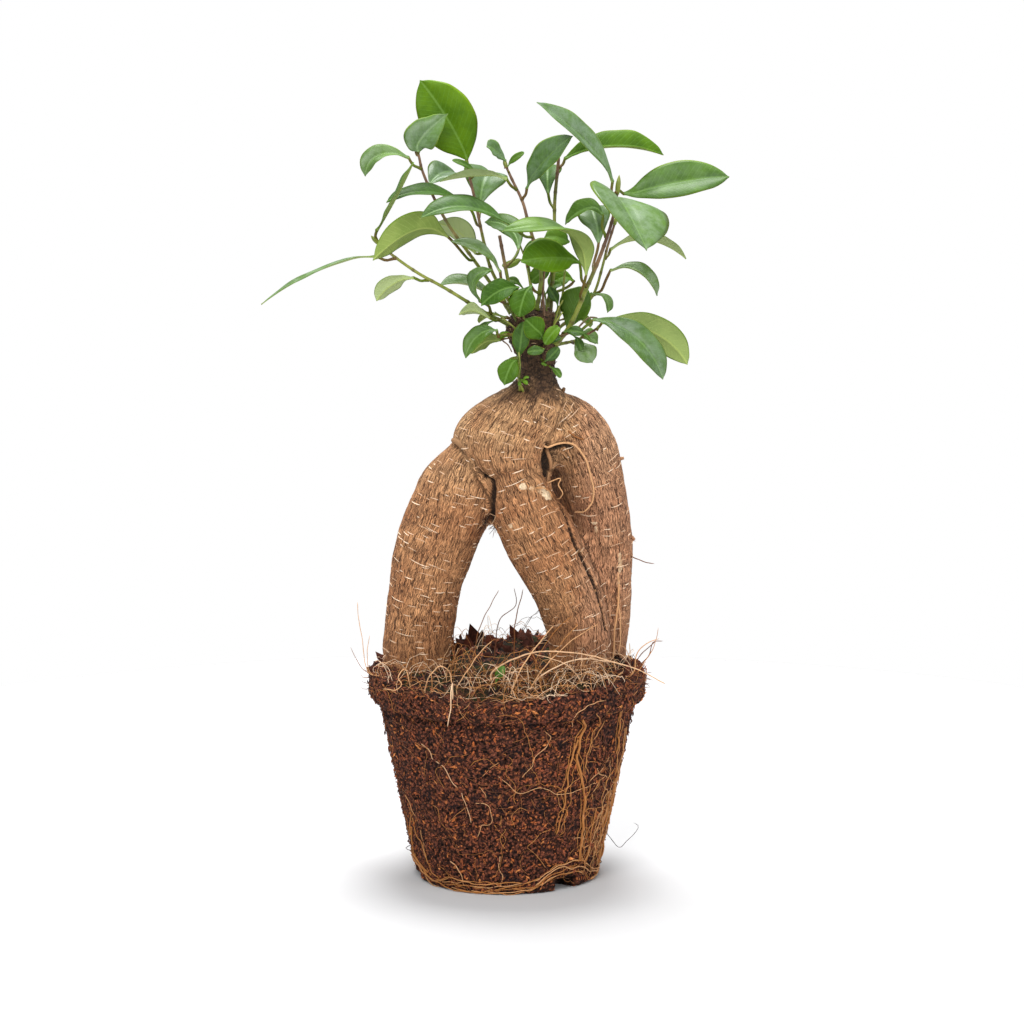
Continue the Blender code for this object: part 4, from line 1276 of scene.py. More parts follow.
def make_scraps(seed=41, small=260):
    pick = random.Random(seed)
    mesh = Mesh("tone")
    for x, y, long, wide, lean in SCRAPS:
        way = Vector((math.sin(lean), pick.gauss(0, 0.2), math.cos(lean))).normalized()
        base = Vector((x, y, crumbs(x, y) + long * 0.36 * abs(way.z))) * MM
        add_chip(mesh, base, way, Vector((0, -1, 0.2)).normalized(), long * MM, wide * MM,
                 0.9 * MM, pick.uniform(0.1, 0.4), pick)
    for _ in range(small):                                # these stand thickest behind
        x, y = top_spot(pick, pick.gauss(math.pi, 1.1), 1.5, 0.2)
        long = pick.uniform(2.0, 6.0)
        way = shaken(pick, (0, 0.7), (0, 0.7), 1).normalized()
        out = shaken(pick, (0, 1), (0, 1), 0.2).normalized()
        base = Vector((x, y, crumbs(x, y) + long * 0.3 * abs(way.z))) * MM
        add_chip(mesh, base, way, out, long * MM, long * pick.uniform(0.3, 0.7) * MM,
                 pick.uniform(0.4, 1.0) * MM, pick.uniform(0.0, 0.4), pick)
    return mesh


make_piece("bark_scraps", make_scraps(), chip_finish(), smooth=False)

# %% [markdown]
# ### Small roots on the trunk
#
# The thick roots still try to root: a thin one left the fork behind the front
# leg, looped out over the bulge beside it and went back in. Two more run down
# the right leg from a healed strip, and grey threads fill the fork's corner.

# %% Roots on the trunk
# thickness in mm and tone, then across, back and up in mm
TRUNK_ROOTS = table("""
    0.95 0.72: 16.5 -14 181, 20.5 -12.6 182.3, 25 -10 182.2, 28.5 -8.4 180.2, 31.8 -7.2 175.5, 34
    -6.3 169, 35.4 -4.4 162, 34.8 -2.6 156.2, 31.6 -0.6 152.2, 27.6 3.5 151.2; 0.9 0.7: 46.3 7.6
    120.5, 46 7.2 113, 44.9 7.4 104, 44.2 7.6 95, 44 8 89; 0.6 0.75: 45.5 8.2 115, 46.8 7.8 108,
    47.2 8.6 100, 46.4 8.6 90; 0.5 0.2: 51 13 131.5, 53 12 130.6, 57 12 129, 61 12 128.4; 0.45
    0.25: 50.5 12 141, 52 10.5 138.5, 53.4 10 138; 0.8 0.35: 22 -4 190, 24.2 -6.6 187.5, 27.6 -7.9
    184.6, 31.5 -7 183; 0.6 0.7: 21.6 -12.6 168, 21 -11.4 165, 22.6 -10.6 161.5, 21.2 -9 158.6;
    0.5 0.55: 28.5 -14.4 107, 25.4 -14.6 104, 21.6 -14 99, 17 -13.6 94.5; 0.6 0.6: 12.4 -16.8
    164.8, 15 -15.6 164.6, 17.6 -13.4 162.6, 18.4 -12 159.8""")


# where roots broke off: thickness and how dark, then the same
STUBS = table("""
    2.7 0.5: -18 -9.9 180.8, -20.2 -9 182.4, -22.4 -7.9 183.2; 1.6 0.45: 17.2 -12 176.8, 17.9
    -12.6 174, 17.6 -11.4 171.4; 1.7 0.45: 46 6.8 173, 48 6.4 173.4; 1.6 0.45: 51.4 12.2 139.6,
    52.8 11.6 138.4; 1.8 0.4: 22.6 0.5 201.6, 23.4 -0.4 203.4; 1.5 0: 8.8 -15.4 145.6, 10.6 -17.4
    144.2, 13.4 -18.4 144.6""")


def footed(route):
    """A route given in mm, now in metres, with a foot on the bark if it starts in the air."""
    path = [Vector(p) * MM for p in route]
    foot, outward = on_bark(path[0], -0.3 * MM)
    return [foot] + path if (path[0] - foot).dot(outward) > 0.8 * MM else path


def add_thread(mesh, pick, start, way, bend, thick, thin, tones, number):
    """A thread that starts in the bark; way is its random vector, in mm."""
    start = on_bark(start * MM, -0.2 * MM)[0]
    far = start + shaken(pick, *way) * MM
    middle = (start + far) / 2 + Vector(bend) * MM
    add_root(mesh, (start, middle, far), thick, thin, pick.choice(tones), 0.2, 0.6, 4, number)


def make_trunk_roots(seed=51, in_the_fork=80, in_the_cleft=60):
    pick = random.Random(seed)
    mesh = Mesh("tone")
    for number, (thick, tone, route) in enumerate(TRUNK_ROOTS):
        add_root(mesh, footed(route), thick, thick * 0.7, tone, 0.3, 0.8, 6, number)
    for number in range(in_the_fork):
        start = Vector((pick.gauss(-7.6, 0.9), pick.gauss(-8.6, 0.8), pick.uniform(145.5, 153.5)))
        add_thread(mesh, pick, start, ((-1.0, 1.8), (-0.8, 0.8), (-1.8, 1.6)), (0.4, -0.3, 0.3),
                   0.28, 0.16, (0.0, 0.0, 0.1, 0.15, 0.8), number)
    for number in range(in_the_cleft):                    # the long one on the right
        x, y, z, _ = curve_through(GAPS[1], 50)[int(pick.random() * 49)]
        add_thread(mesh, pick, shaken(pick, (x, 0.7), (y, 0.6), (z, 0.8)),
                   ((0.5, 1.0), (-1.0, 0.6), (0, 1.1)), (0.3, -0.3, 0.2), 0.3, 0.18,
                   (0.05, 0.15, 0.4, 0.7), number)
    return mesh


make_piece("trunk_roots", make_trunk_roots(), ROOT_FINISH)
stubs = Mesh("crease")
for number, (thick, crease, route) in enumerate(STUBS):
    path = curve_through(footed(route), 9)
    radii = [thick / 2 * MM * (1 - 0.35 * (i / 8) ** 2 + 0.12 * math.sin(i * 2.3 + number))
             for i in range(9)]
    tube(stubs, path, radii, 8, crease=crease)
make_piece("broken_stubs", stubs, BARK_FINISH)

# %% [markdown]
# ## Reading a leaf back from its solid
#
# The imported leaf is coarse: eight points round, a few rings long. Its rings
# still say where the midrib runs, how wide the blade is and how it folds, so
# they are read back. Each end of the solid is a flat eight-sided face, fanned
# from one corner, and no other corner has as many flat faces round it. Walking
# outwards from that face, step by step, gives ring after ring up to the other.

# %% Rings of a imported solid
RING = 8


def rings_of(name):
    """The solid's rings in order, each an 8 x 3 array in metres."""
    data = SOLIDS[name].data
    ids, corners_at, links, number = {}, [], [], []
    for vertex in data.vertices:
        key = tuple(round(c / (0.002 * MM)) for c in vertex.co)
        if key not in ids:
            ids[key] = len(corners_at)
            corners_at.append(np.array(vertex.co))
            links.append(set())
        number.append(ids[key])
    for edge in data.edges:
        a, b = (number[v] for v in edge.vertices)
        if a != b:
            links[a].add(b)
            links[b].add(a)
    around = {}
    for face in data.polygons:
        corners = [number[v] for v in face.vertices]
        for corner in corners:
            around.setdefault(corner, []).append((np.array(face.normal), corners))
    best, most = [], 0
    for faces in around.values():
        for one, _ in faces:
            level = {n for other, corners in faces if one @ other > 0.9999 for n in corners}
            if len(level) != RING:
                continue
            seen, rings = set(), []
            while level:
                rings.append(np.array([corners_at[i] for i in sorted(level)]))
                seen |= level
                level = {n for i in level for n in links[i]} - seen
            even = sum(1 for ring in rings if len(ring) == RING)
            if even > most:
                best, most = rings, even
    return best


def width_of(ring):
    return max(norm(a - b) for a in ring for b in ring)


def is_round(ring):
    reach = norm(ring - ring.mean(axis=0), axis=1)
    return reach.max() - reach.min() < 0.02 * MM


def leaf_lines(name):
    """A leaf's stalk, midrib and both edges, as points from its foot to its tip."""
    rings = rings_of(name)
    if width_of(rings[1]) > width_of(rings[-2]):
        rings.reverse()
    round_ones = sum(1 for ring in rings if is_round(ring))
    stalk = [ring.mean(axis=0) for ring in rings[:round_ones]]
    middle, left, right = [], [], []
    before = None
    for ring in rings[round_ones + 1:]:
        pairs = [(norm(a - b), i, k) for i, a in enumerate(ring)
                 for k, b in enumerate(ring) if i < k]
        _, i, k = max(pairs)
        a, b = ring[i], ring[k]
        if before is not None and np.dot(b - a, before) < 0:
            a, b = b, a
        before = b - a
        side = unit(before)
        center = (a + b) / 2
        inner = sorted(range(RING), key=lambda n: abs(np.dot(ring[n] - center, side)))[:2]
        middle.append(ring[inner].mean(axis=0))
        left.append(a)
        right.append(b)
    return stalk, np.array(middle), np.array(left), np.array(right)


sample = leaf_lines("leaf_right_main_2")
print("sample leaf: stalk points", len(sample[0]), "blade rings", len(sample[1]))

# %% [markdown]
# ## Making a blade
#
# A fig leaf is a thin skin, thickest at its midrib, which stands out underneath
# as a continuation of the stalk. Each half bows up a little before it droops,
# and the edge waves slightly. The blade is lofted as one closed skin, top and
# underside together, so it is a real solid and looks right from below too.
# Every point keeps how far along and across the leaf it lies, in millimetres,
# because the veins are drawn from those numbers.

# %% Blade
COLUMNS = 15                       # points across the upper side
BLADE_HALF = 0.19 * MM             # half the blade's thickness
STALK_RADIUS = 0.58 * MM


def section_columns():
    """(-1 to 1 across, is it the underside) for each point round a section."""
    top = [(2 * k / (COLUMNS - 1) - 1, 0.0) for k in range(COLUMNS)]
    return top + [(u, 1.0) for u, _ in reversed(top[1:-1])]


SECTION = section_columns()


def loft_rings(mesh, rings, **values):
    """Join rings of points into one closed skin."""
    count = len(rings[0])
    last = (len(rings) - 1) * count
    faces = [(a, d, c, b) for a, b, c, d in bands(len(rings), count)]
    ends = [tuple(range(count)), tuple(reversed(range(last, last + count)))]
    mesh.add([point for ring in rings for point in ring], faces + ends, **values)


def blade_mesh(mesh, stalk, middle, left, right, look, rows, seed, wave=0.8,
               thick_stalk=STALK_RADIUS):
    """One closed leaf: its stalk, then the blade."""
    stalk, middle = np.asarray(stalk, float), np.asarray(middle, float)
    start = stalk[-1]
    tip = middle[-1] + (middle[-1] - middle[-2]) * 0.30
    spine = np.vstack([start, middle, tip])
    halves = [np.vstack([(edge[0] - middle[0]) * 0.16, edge - middle,
                         (edge[-1] - middle[-1]) * 0.05]) for edge in (left, right)]
    fine = curve_through(np.hstack([spine, *halves]), rows)
    center, lefts, rights = fine[:, :3], fine[:, 3:6], fine[:, 6:9]
    tangents = unit(np.gradient(center, axis=0))
    gone = gone_along(center) / MM
    widest = int(np.argmax(norm(rights - lefts, axis=1)))
    sides = unit(rights - lefts)
    normals = unit(np.cross(sides, tangents))
    if np.dot(lefts[widest] + rights[widest], normals[widest]) < 0:
        normals = -normals
    rings, veins = [], []
    inside = stalk[0] - unit(stalk[1] - stalk[0]) * 1.4 * MM    # the stalk starts in the wood
    stalk_path = curve_through(np.vstack([inside, stalk]), len(stalk) * 2 + 2)
    side, normal = sides[0], normals[0]
    for row, place in enumerate(stalk_path[:-1]):
        ahead = unit(stalk_path[row + 1] - place)
        own_side = unit(side - ahead * np.dot(side, ahead))
        own_up = unit(normal - ahead * np.dot(normal, ahead) - own_side * np.dot(normal, own_side))
        radius = thick_stalk * (1.35 - 0.35 * min(1, row / 2))
        rings.append([place + own_side * (u * radius) + own_up * (
            radius * math.sin(math.acos(max(-1, min(1, u)))) * (-1 if below else 1))
            for u, below in SECTION])
        veins += [(-1.0, u, row / len(stalk_path) - 1) for u, _ in SECTION]
    for row in range(rows):
        s = row / (rows - 1)
        reach = max(norm(lefts[row]), norm(rights[row]))
        rib = mixed(thick_stalk, 0.10 * MM, s ** 0.6)
        ring = []
        for u, below in SECTION:
            a = abs(u)
            edge = lefts[row] if u < 0 else rights[row]
            irregular = 1 + 0.07 * a * rough(s * 6 + seed, 2.0 * (u > 0), seed)
            out = max(reach * a * irregular, thick_stalk * a * (1 - min(1, 12 * s)))
            place = center[row] + edge / max(norm(edge), 1e-9) * out
            bow = 0.30 * reach * (a - a * a)
            ripple = wave * MM * a * a * rough(s * 5 + seed, u * 1.2, seed * 3)
            ridge = math.exp(-(a * reach / (0.55 * MM)) ** 2)
            thick = BLADE_HALF * (1 - 0.8 * a ** 4)
            near_stalk = 1 - float(eased(s, 0.0, 0.07))
            if below:
                lift = -thick - rib * 0.85 * ridge
            else:
                lift = thick - 0.10 * MM * ridge * (1 - near_stalk) + rib * 0.9 * ridge * near_stalk
            ring.append(place + normals[row] * (bow + ripple + lift))
        rings.append(ring)
        veins += [(gone[row], u * reach / MM, s) for u, _ in SECTION]
    loft_rings(mesh, rings, veins=veins, edge=[abs(u) for u, _ in SECTION] * len(rings),
               under=[below for _, below in SECTION] * len(rings), tone=look[0], wax=look[1])


def leaf_mesh():
    return Mesh("veins", "edge", "under", "tone", "wax")


print("points round a section:", len(SECTION))

# %% [markdown]
# ### The colours of a leaf
#
# From above a fig leaf is deep green with a paler midrib, and a slightly blue,
# waxy-looking sheen is painted onto it. Young leaves are bright yellow-green,
# and leaves with light behind them get the same bright yellow-green as painted
# light. Underneath all are pale and matt, with painted sheen too. So there are
# two colour sets, chosen by which side a point is on, and two numbers that each
# leaf keeps: a tone, from dark to bright, which holds both age and painted light
# (old and shaded leaves dark, young and backlit ones bright), and how much
# painted grey sheen lies on it, which also sets how glossy its top is. Side
# veins leave the midrib at an even pitch and slant forwards, which is one line
# of arithmetic on the kept millimetres.

# %% Leaf finish
def leaf_finish():
    f = Finish("fig leaf", specular_ior_level=0.11)
    veins = f.kept("veins", "Vector")
    along, across, share = (f.part(veins, which) for which in range(3))
    edge, under, tone, wax = f.kept("edge"), f.kept("under"), f.kept("tone"), f.kept("wax")
    here = f.place()
    cloudy = f.noise(here, 90.0, 3.0, 0.55)
    fine = f.noise(here, 900.0, 3.0, 0.6)
    off = abs(across)
    midrib = 1 - off.ease(0.18, 0.62)
    pitch = ((along - off * 0.85) * 0.40).fraction()
    side_vein = (1 - abs(pitch - 0.5).ease(0.0, 0.16)) * edge.ease(1.0, 0.6)
    net = f.cells(f.stretched(veins, (1.3, 1.6, 0.0)), 1.0)
    patch = cloudy.ease(0.35, 0.65)
    # painted sheen: a mottled grey reflection on the top, weaker near the edge
    sheen_mottle = f.noise(here, 210.0, 4.0, 0.65).ease(0.36, 0.62)
    painted_sheen = wax * (0.35 + 0.65 * sheen_mottle) * (1 - 0.5 * edge.ease(0.6, 1.0))
    stalk, margin = share.ease(0.01, -0.01), edge.ease(0.90, 0.99)
    spot = f.noise(here, 420.0, 2.0, 0.4).ease(0.78, 0.84)
    # the tone mixes age and painted light: dark for old and shaded leaves, bright for young and
    # backlit ones
    top = f.layers(
        f.mix(tone, f.mix(patch, (32, 60, 13), (48, 82, 19)),
              f.mix(patch, (62, 96, 1), (84, 118, 2))),
        (net.ease(0.25, 0.75) * 0.20, (76, 110, 26)), (side_vein * 0.16, (96, 140, 58)),
        (midrib * 0.34, (120, 156, 76)),
        (painted_sheen * 0.62, f.mix(tone, (100, 122, 102), (138, 156, 128))))
    # the underside: pale, with painted sheen where the leaf's sheen number is high
    low = f.layers(
        f.mix(tone, f.mix(patch, (80, 102, 46), (98, 120, 58)),
              f.mix(patch, (112, 134, 46), (132, 150, 64))),
        (wax * 0.75, (166, 180, 134)), (side_vein * 0.22, (150, 168, 96)),
        (midrib * 0.6, (160, 176, 96)))
    color = f.layers(
        f.mix(under, top, low), (margin * 0.60, (124, 148, 34)),
        (stalk, f.mix(cloudy.ease(0.4, 0.6), (86, 102, 28), (96, 74, 38))),
        (spot * 0.35, (120, 146, 60)))
    relief = 1 - side_vein * 0.5 - midrib * 0.3 + fine * 0.12 + net * 0.12
    f.use(base_color=color, roughness=0.46 + 0.20 * under + 0.10 * cloudy,
          coat_weight=(0.02 + 0.36 * wax) * (1 - under), coat_roughness=0.32,
          normal=f.bump(relief, 0.45, 0.25 * MM))
    return f


LEAF_FINISH = leaf_finish()
# each shoot's leaves in order: tone from 0 dark to 1 bright, painted light included, and painted
# sheen with gloss from 0 to 1
LOOKS = {
    "left_inner": "0.9 0, 0.35 0.7, 0.1 0.1, 0.9 0.9",
    "left_tall": "0.45 0.7, 0.75 0.6, 0.25 0.85, 0.7 0.15",
    "far_left": "0.4 0.2, 0.6 0.8, 0.9 0.9, 0.6 0.5, 0.9 0.9",
    "cut_stub": "0.9 1, 0.4 0.3, 0.95 0.95, 0.05 0",
    "middle_left": "0.3 0.7, 0.9 0.9, 0.25 0.6, 0.2 0.3, 0.25 0",
    "middle_right": "0.65 0, 0.15 0.25, 0.7 0.1, 0.75 0",
    "right_main": """0.35 1, 0.45 0.3, 0.6 0.75, 0.4 0.15, 0.9 0.3, 0.4 0.75, 0.7 0, 0.65 0.2,
        0.4 0.75""",
    "right_back": "0.8 0.8, 0.9 0.9, 0.8 0.5",
    "right_low": "0.6 0.3, 1 1, 0.8 0.5",
    "neck_sprout": "0.15 0.15, 0.4 0.05",
    "knob_sprout": "0.5 0.3, 0.45 0.1, 0.3 0",
}

SPREAD = {                         # how wide a blade lies open, against its solid
    "far_left_2": 0.34, "left_tall_1": 0.88, "left_inner_1": 1.14, "right_main_2": 1.14,
}


def make_leaves():
    for number, name in enumerate(sorted(n for n in SOLIDS if n.startswith("leaf_"))):
        stalk, middle, left, right = leaf_lines(name)
        open_by = SPREAD.get(name[5:], 1)
        left, right = mixed(middle, left, open_by), mixed(middle, right, open_by)
        mesh = leaf_mesh()
        size = norm(middle[-1] - middle[0]) / MM
        rows = 40 if size > 26 else 28 if size > 14 else 20
        shoot, order = name[5:].rsplit("_", 1)
        look = places(LOOKS[shoot])[int(order) - 1]
        blade_mesh(mesh, stalk, middle, left, right, look, rows, number * 1.7)
        make_piece("fine_" + name, mesh, LEAF_FINISH, (name,))


make_leaves()

# %% [markdown]
# ## Shoots
#
# The leafy shoots were grafted on the trunk's head. Each is round and thin, green
# and smooth low down, browner where it is older bark, with a ring-shaped scar
# wherever a leaf or its sheath fell, and it ends in a pointed bud. The packed
# solid gives the path and the thickness. The scars are swellings of the tube.

# %% Shoot finish
def shoot_finish():
    f = Finish("green bark", roughness=0.5, specular_ior_level=0.4)
    share, scar = f.kept("share"), f.kept("scar")
    here = f.place()
    streak = f.noise(f.stretched(here, (1.0, 1.0, 0.22)), 1500.0, 4.0, 0.65)
    patch = f.noise(here, 130.0, 3.0, 0.55)
    green = f.mix(patch.ease(0.35, 0.65), (92, 108, 30), (126, 132, 52))
    brown = f.mix(patch.ease(0.35, 0.65), (84, 58, 44), (122, 92, 66))
    color = f.mix((share + (patch - 0.5) * 0.5).ease(0.42, 0.72), green, brown)
    color = f.mix(streak.ease(0.56, 0.72) * 0.5, color, (168, 156, 104))
    color = f.mix(scar * 0.7, color, (74, 54, 34))
    f.use(base_color=color, normal=f.bump(streak, 0.5, 0.25 * MM))
    return f


SHOOT_FINISH = shoot_finish()
SLIMMER = 0.66                     # the living shoot is thinner than its plain solid
OLD_BARK = {"right_main": 0.05, "middle_left": 0.1, "middle_right": -0.15, "cut_stub": -0.1,
            "left_inner": 0.0, "left_tall": 0.0, "far_left": -0.4, "right_back": -0.2,
            "right_low": 0.0, "neck_sprout": -0.6, "knob_sprout": -0.6}


def shoot_mesh(name, older):
    rings = rings_of(name)
    centers = np.array([ring.mean(axis=0) for ring in rings])
    if centers[0][2] > centers[-1][2]:
        rings.reverse()
        centers = centers[::-1]
    radii = np.minimum.accumulate([width_of(ring) / 2 for ring in rings]) * SLIMMER
    length = steps_of(centers).sum()
    fine = curve_through(np.column_stack([centers, radii]), max(12, int(length / (0.8 * MM))))
    shares, scars, thick = [], [], []
    for i, radius in enumerate(fine[:, 3]):
        gone = length * i / (len(fine) - 1) / MM
        beat = gone / 8.5 + 0.35 * rough(gone * 0.05, older * 9, 3)
        scar = math.exp(-((beat % 1 - 0.5) / 0.07) ** 2)
        flare = 0.35 * math.exp(-gone / 2.2)
        scars.append(scar)
        shares.append(i / (len(fine) - 1) + older)
        thick.append(radius * (0.94 + 0.20 * scar + flare
                               + 0.05 * rough(gone * 0.6, older, 1)))
    mesh, sides = Mesh("share", "scar"), 10
    tube(mesh, fine[:, :3], thick, sides, share=np.repeat(shares, sides),
         scar=np.repeat(scars, sides))
    return mesh, fine


SHOOT_ENDS, WOOD = {}, [BARK_TREE]
for name in sorted(n for n in SOLIDS if n.startswith("shoot_")):
    mesh, path = shoot_mesh(name, OLD_BARK.get(name[6:], 0.0))
    SHOOT_ENDS[name[6:]] = path
    piece = make_piece("fine_" + name, mesh, SHOOT_FINISH, (name,))
    WOOD.append(surface_of(piece))

# %% [markdown]
# ## Small leaves, stalks and buds
#
# Where the shoots were grafted, the head keeps sprouting: leaves a few
# millimetres long, their stalks, and pointed buds in their sheaths. They are too
# small for the solids, so they are grown here with the same blade as the large
# leaves, from a foot on the bark, a base, a tip and a facing direction.

# %% Small leaves
# width in mm and tone, then foot, base and tip in mm and the way it faces; the last five
# grow behind the head
SMALL_LEAVES = table("""
    4.9 0.2: 21.9 -8 226.6, 24.3 -12 228.3, 31.1 -15 227.9, 0.1 -0.9 0.4; 2.4 0.6: 28.8 -10 227.2,
    29.5 -12 227.1, 34 -13 224.3, 0.3 -0.6 0.7; 6.2 0.85: 17 -12 226.3, 21.4 -15 230.7, 15 -18
    223.6, -0.2 -0.9 0.4; 4.6 0.4: 12.5 -12 220.5, 14.9 -16 220.7, 8 -17 220.4, 0 -0.9 0.4; 5.2
    0.15: 16.2 -9 214.4, 16.2 -12 216.5, 21.2 -14 221.8, 0.2 -0.9 0.3; 3.8 0.15: 16.2 -11 222.5,
    17 -13 223.5, 21.8 -14 226.1, 0 -0.8 0.6; 3.6 0.5: 17.1 -8 213.5, 18.3 -9 212.8, 22.1 -10 209,
    0.2 -0.8 0.6; 2.2 1: 5.3 -13 208.8, 6.5 -14 208.6, 8.9 -15 209.9, 0 -0.5 0.9; 2.2 1: 5.3 -13
    208.8, 6.1 -14 208.2, 8.5 -15.5 207.1, 0 -0.7 0.7; 1.8 1: 5.3 -13 208.8, 5.3 -14 208.2, 4.9
    -15 206.3, 0 -0.8 0.5; 1.6 1: 16.2 -10 213.7, 15.8 -11 213.9, 13.8 -12 215.2, 0 -0.8 0.6; 4
    0.2: 26.4 -6 225.9, 28 -7 225.2, 30.2 -9 219.8, 0.3 -0.9 0.2; 4.2 1: 4.1 -7 225.6, 2 -8 226.2,
    -4.1 -9 225.1, 0 -0.6 0.8; 4.9 0.15: 19.9 -1 234.7, 20.7 -2 238.9, 17 -3 245.1, -0.2 -0.9 0.4;
    3.4 0.8: 25.7 3 230.9, 28.6 4 231.6, 34.7 5 229, 0 -0.5 0.8; 7.4 0.25: 17.9 5 254.5, 16.7 6
    262.1, 6.5 4 257.4, 0 -0.7 0.7; 7.4 0.55: 17.9 2 246.6, 17.5 3 252.6, 9.4 2 246.6, 0.1 -0.9
    0.4; 3.8 0.8: 8.2 6 252.7, 5.7 8 255.4, -2.2 8 252.3, 0 0.8 -0.4; 3.4 0.2: -2.9 4 230, -6.9 5
    229.9, -12.3 5 225.3, -0.2 -0.8 0.5; 4.9 0.5: 15.5 8 238.5, 16.8 9 242.5, 22.5 10 245.3, 0.2
    -0.6 0.8; 4.2 0.4: 9.4 8 238.5, 5.3 9 244.6, 0 10 247.1, -0.2 -0.6 0.8; 3.2 0.5: 0 0 292.4,
    0.8 0 294.8, 6.9 -2 300, 0.2 -0.8 0.5; 3 0.4: -11.8 4 288.8, -13.4 4 291.6, -22.3 3 296.6, 0.1
    -0.8 0.5; 8 0.5: 12 14 232, 12 20 236, 9 31 233, 0 0.5 0.9; 8 0.35: 20 12 228, 26 18 230, 35
    25 226, 0.3 0.5 0.8; 7 0.6: 4 12 228, -3 17 231, -12 23 228, -0.3 0.5 0.8; 5 0.8: 14 12 218,
    15 17 218, 18 23 212, 0.2 0.8 0.5; 5 0.9: 8 12 214, 5 16 214, 0 20 208, -0.2 0.8 0.5""")


def nearest_wood(point):
    """The nearest place on bark, shoot or stalk to a place given in mm, 0.2 mm inside it."""
    found = min((tree.find_nearest(Vector(point) * MM) for tree in WOOD), key=lambda hit: hit[3])
    return np.array(found[0] - found[1] * 0.2 * MM) / MM


def grow_leaf(mesh, foot, base, tip, width, tone, face, seed):
    foot, base, tip, face = (np.array(v, float) for v in (foot, base, tip, face))
    long_way = tip - base
    length = norm(long_way)
    heading = long_way / length
    up = unit(face - heading * np.dot(face, heading))
    side = np.cross(heading, up)
    middle, left, right = [], [], []
    for s in (0.08, 0.22, 0.40, 0.58, 0.76, 0.92):
        half = width / 2 * (s ** 0.7 * (1 - s) ** 0.6) / 0.435
        place = base + long_way * s + up * (0.5 * length * s * (1 - s) - 0.10 * length * s * s)
        middle.append(place)
        left.append(place - side * half * 0.95 + up * half * 0.3)
        right.append(place + side * half * 0.95 + up * half * 0.3)
    bend = (foot + base) / 2 - heading * 0.15 * norm(base - foot)
    stalk = curve_through((foot, bend, base), 4)[:3]
    blade_mesh(mesh, stalk * MM, np.array(middle) * MM, np.array(left) * MM, np.array(right) * MM,
               (tone, 0.3 * (1 - tone)), 18, seed, 0.25, 0.36 * MM)


print("small leaves to grow:", len(SMALL_LEAVES))

# %% [markdown]
# ### Stalks, buds and scales
#
# Bare stalks stand where small leaves fell. A bud is a tube that swells and then
# closes to a point, and the scales of old buds flake the dark head.

# %% Thin stalks, buds and scales
# thickness in mm and green 0 to brown 1, then places in mm
STALKS = table("""
    0.9 0: 13.8 -4 228, 12.6 -5 240.1, 13.8 -4 251.4; 0.8 0: 15.9 -2 227.1, 15.8 -3 239.8, 13.4 0
    247.7; 1 0.6: 17.1 0 227.5, 18.3 2 239.2, 17.9 4 253.3, 18.7 5 263.5; 1.1 0: 20 2 226.9, 22.4
    4 239, 23.7 6 251.1; 0.8 0.3: 18.3 -6 227, 20.7 -8 236.4, 22.7 -8 240.4; 0.8 0: 5.3 -6 228.8,
    -0.8 -6 240.2, -4.1 -4 246.1; 0.8 0: 8.1 -8 229.1, 4.5 -8 240.4, 2.8 -8 244.5; 0.7 0: 17 -10
    226.4, 19.8 -12 232, 22.6 -12 236; 0.7 0: 5.3 -11 227.7, -0.8 -12 232.8, -4.9 -10 235.8; 1
    0.8: 15.4 -6 228.8, 14.6 -7 244.4, 15.4 -4 256.3, 13.8 0 264; 0.9 0.2: 12.2 -3 229.3, 9.8 0
    243.6, 7.7 4 254.6, 5.3 6 261.3; 0.9 0.7: 20.5 -10 225.4, 27.5 -12 228.7, 32.8 -10 233.3, 36.5
    -8 233.1; 0.6 0.9: -1.8 -6 223.9, 0.4 -8 222.1, 2 -8 219.2; 0.9 0: 4.9 -12 208.2, 5.3 -15
    214.4, 4.8 -16 220.2; 0.9 0.1: 11 8 229, 10 12 244, 8 14 258; 0.9 0.3: 16 9 229, 20 14 243, 22
    18 256""")
BUDS = (                           # shoot, length and thickness in mm, brown 1 or green 0
    ("right_main", 8.0, 2.1, 0.3), ("left_inner", 3.2, 1.5, 0.2), ("left_tall", 3.4, 1.7, 0.6),
    ("far_left", 4.2, 1.6, 0.2), ("middle_left", 3.6, 1.6, 0.4), ("middle_right", 3.2, 1.5, 0.4),
    ("right_back", 3.0, 1.4, 0.1), ("right_low", 2.6, 1.3, 0.1), ("neck_sprout", 2.0, 1.0, 0.0),
    ("knob_sprout", 2.0, 1.0, 0.0),
)


def make_stalks(seed=61, flakes=420):
    pick = random.Random(seed)
    mesh = Mesh("share", "scar")
    for thick, brown, route in STALKS:
        path = curve_through(footed(route), 16)
        radii = [thick / 2 * MM * (1.25 - 0.5 * i / 15 + 0.08 * math.sin(i * 1.9))
                 for i in range(16)]
        tube(mesh, path, radii, 7, share=0.2 + 0.7 * brown, scar=0.0)
    for name, long, thick, brown in BUDS:
        path = SHOOT_ENDS[name][:, :3]
        tip = path[-1]
        heading = unit(unit(tip - path[-4]) + np.array((0, 0, 0.45)))
        count = 12
        spots = [tip + heading * (long * MM * i / (count - 1) - 0.8 * MM) for i in range(count)]
        radii = [thick / 2 * MM * (0.75 + 1.1 * s - 0.4 * s * s) * (1 - s ** 2.6) + 0.05 * MM
                 for s in np.linspace(0, 1, count)]
        tube(mesh, spots, radii, 8, share=0.2 + 0.7 * brown, scar=0.0)
    points, normals = BARK[0], BARK[1]
    high = [i for i in range(0, len(points), 3) if points[i][2] > 205]
    for _ in range(flakes):                               # old bud scales on the head
        i = pick.choice(high)
        if points[i][2] < 224 and pick.random() < 0.45:
            continue
        out = Vector(normals[i])
        way = scattered_direction(out, pick, 0.5)
        add_flake(mesh, Vector(points[i]) * MM, way, out, *sized(FLAKE, pick.random() ** 2), pick)
    return mesh


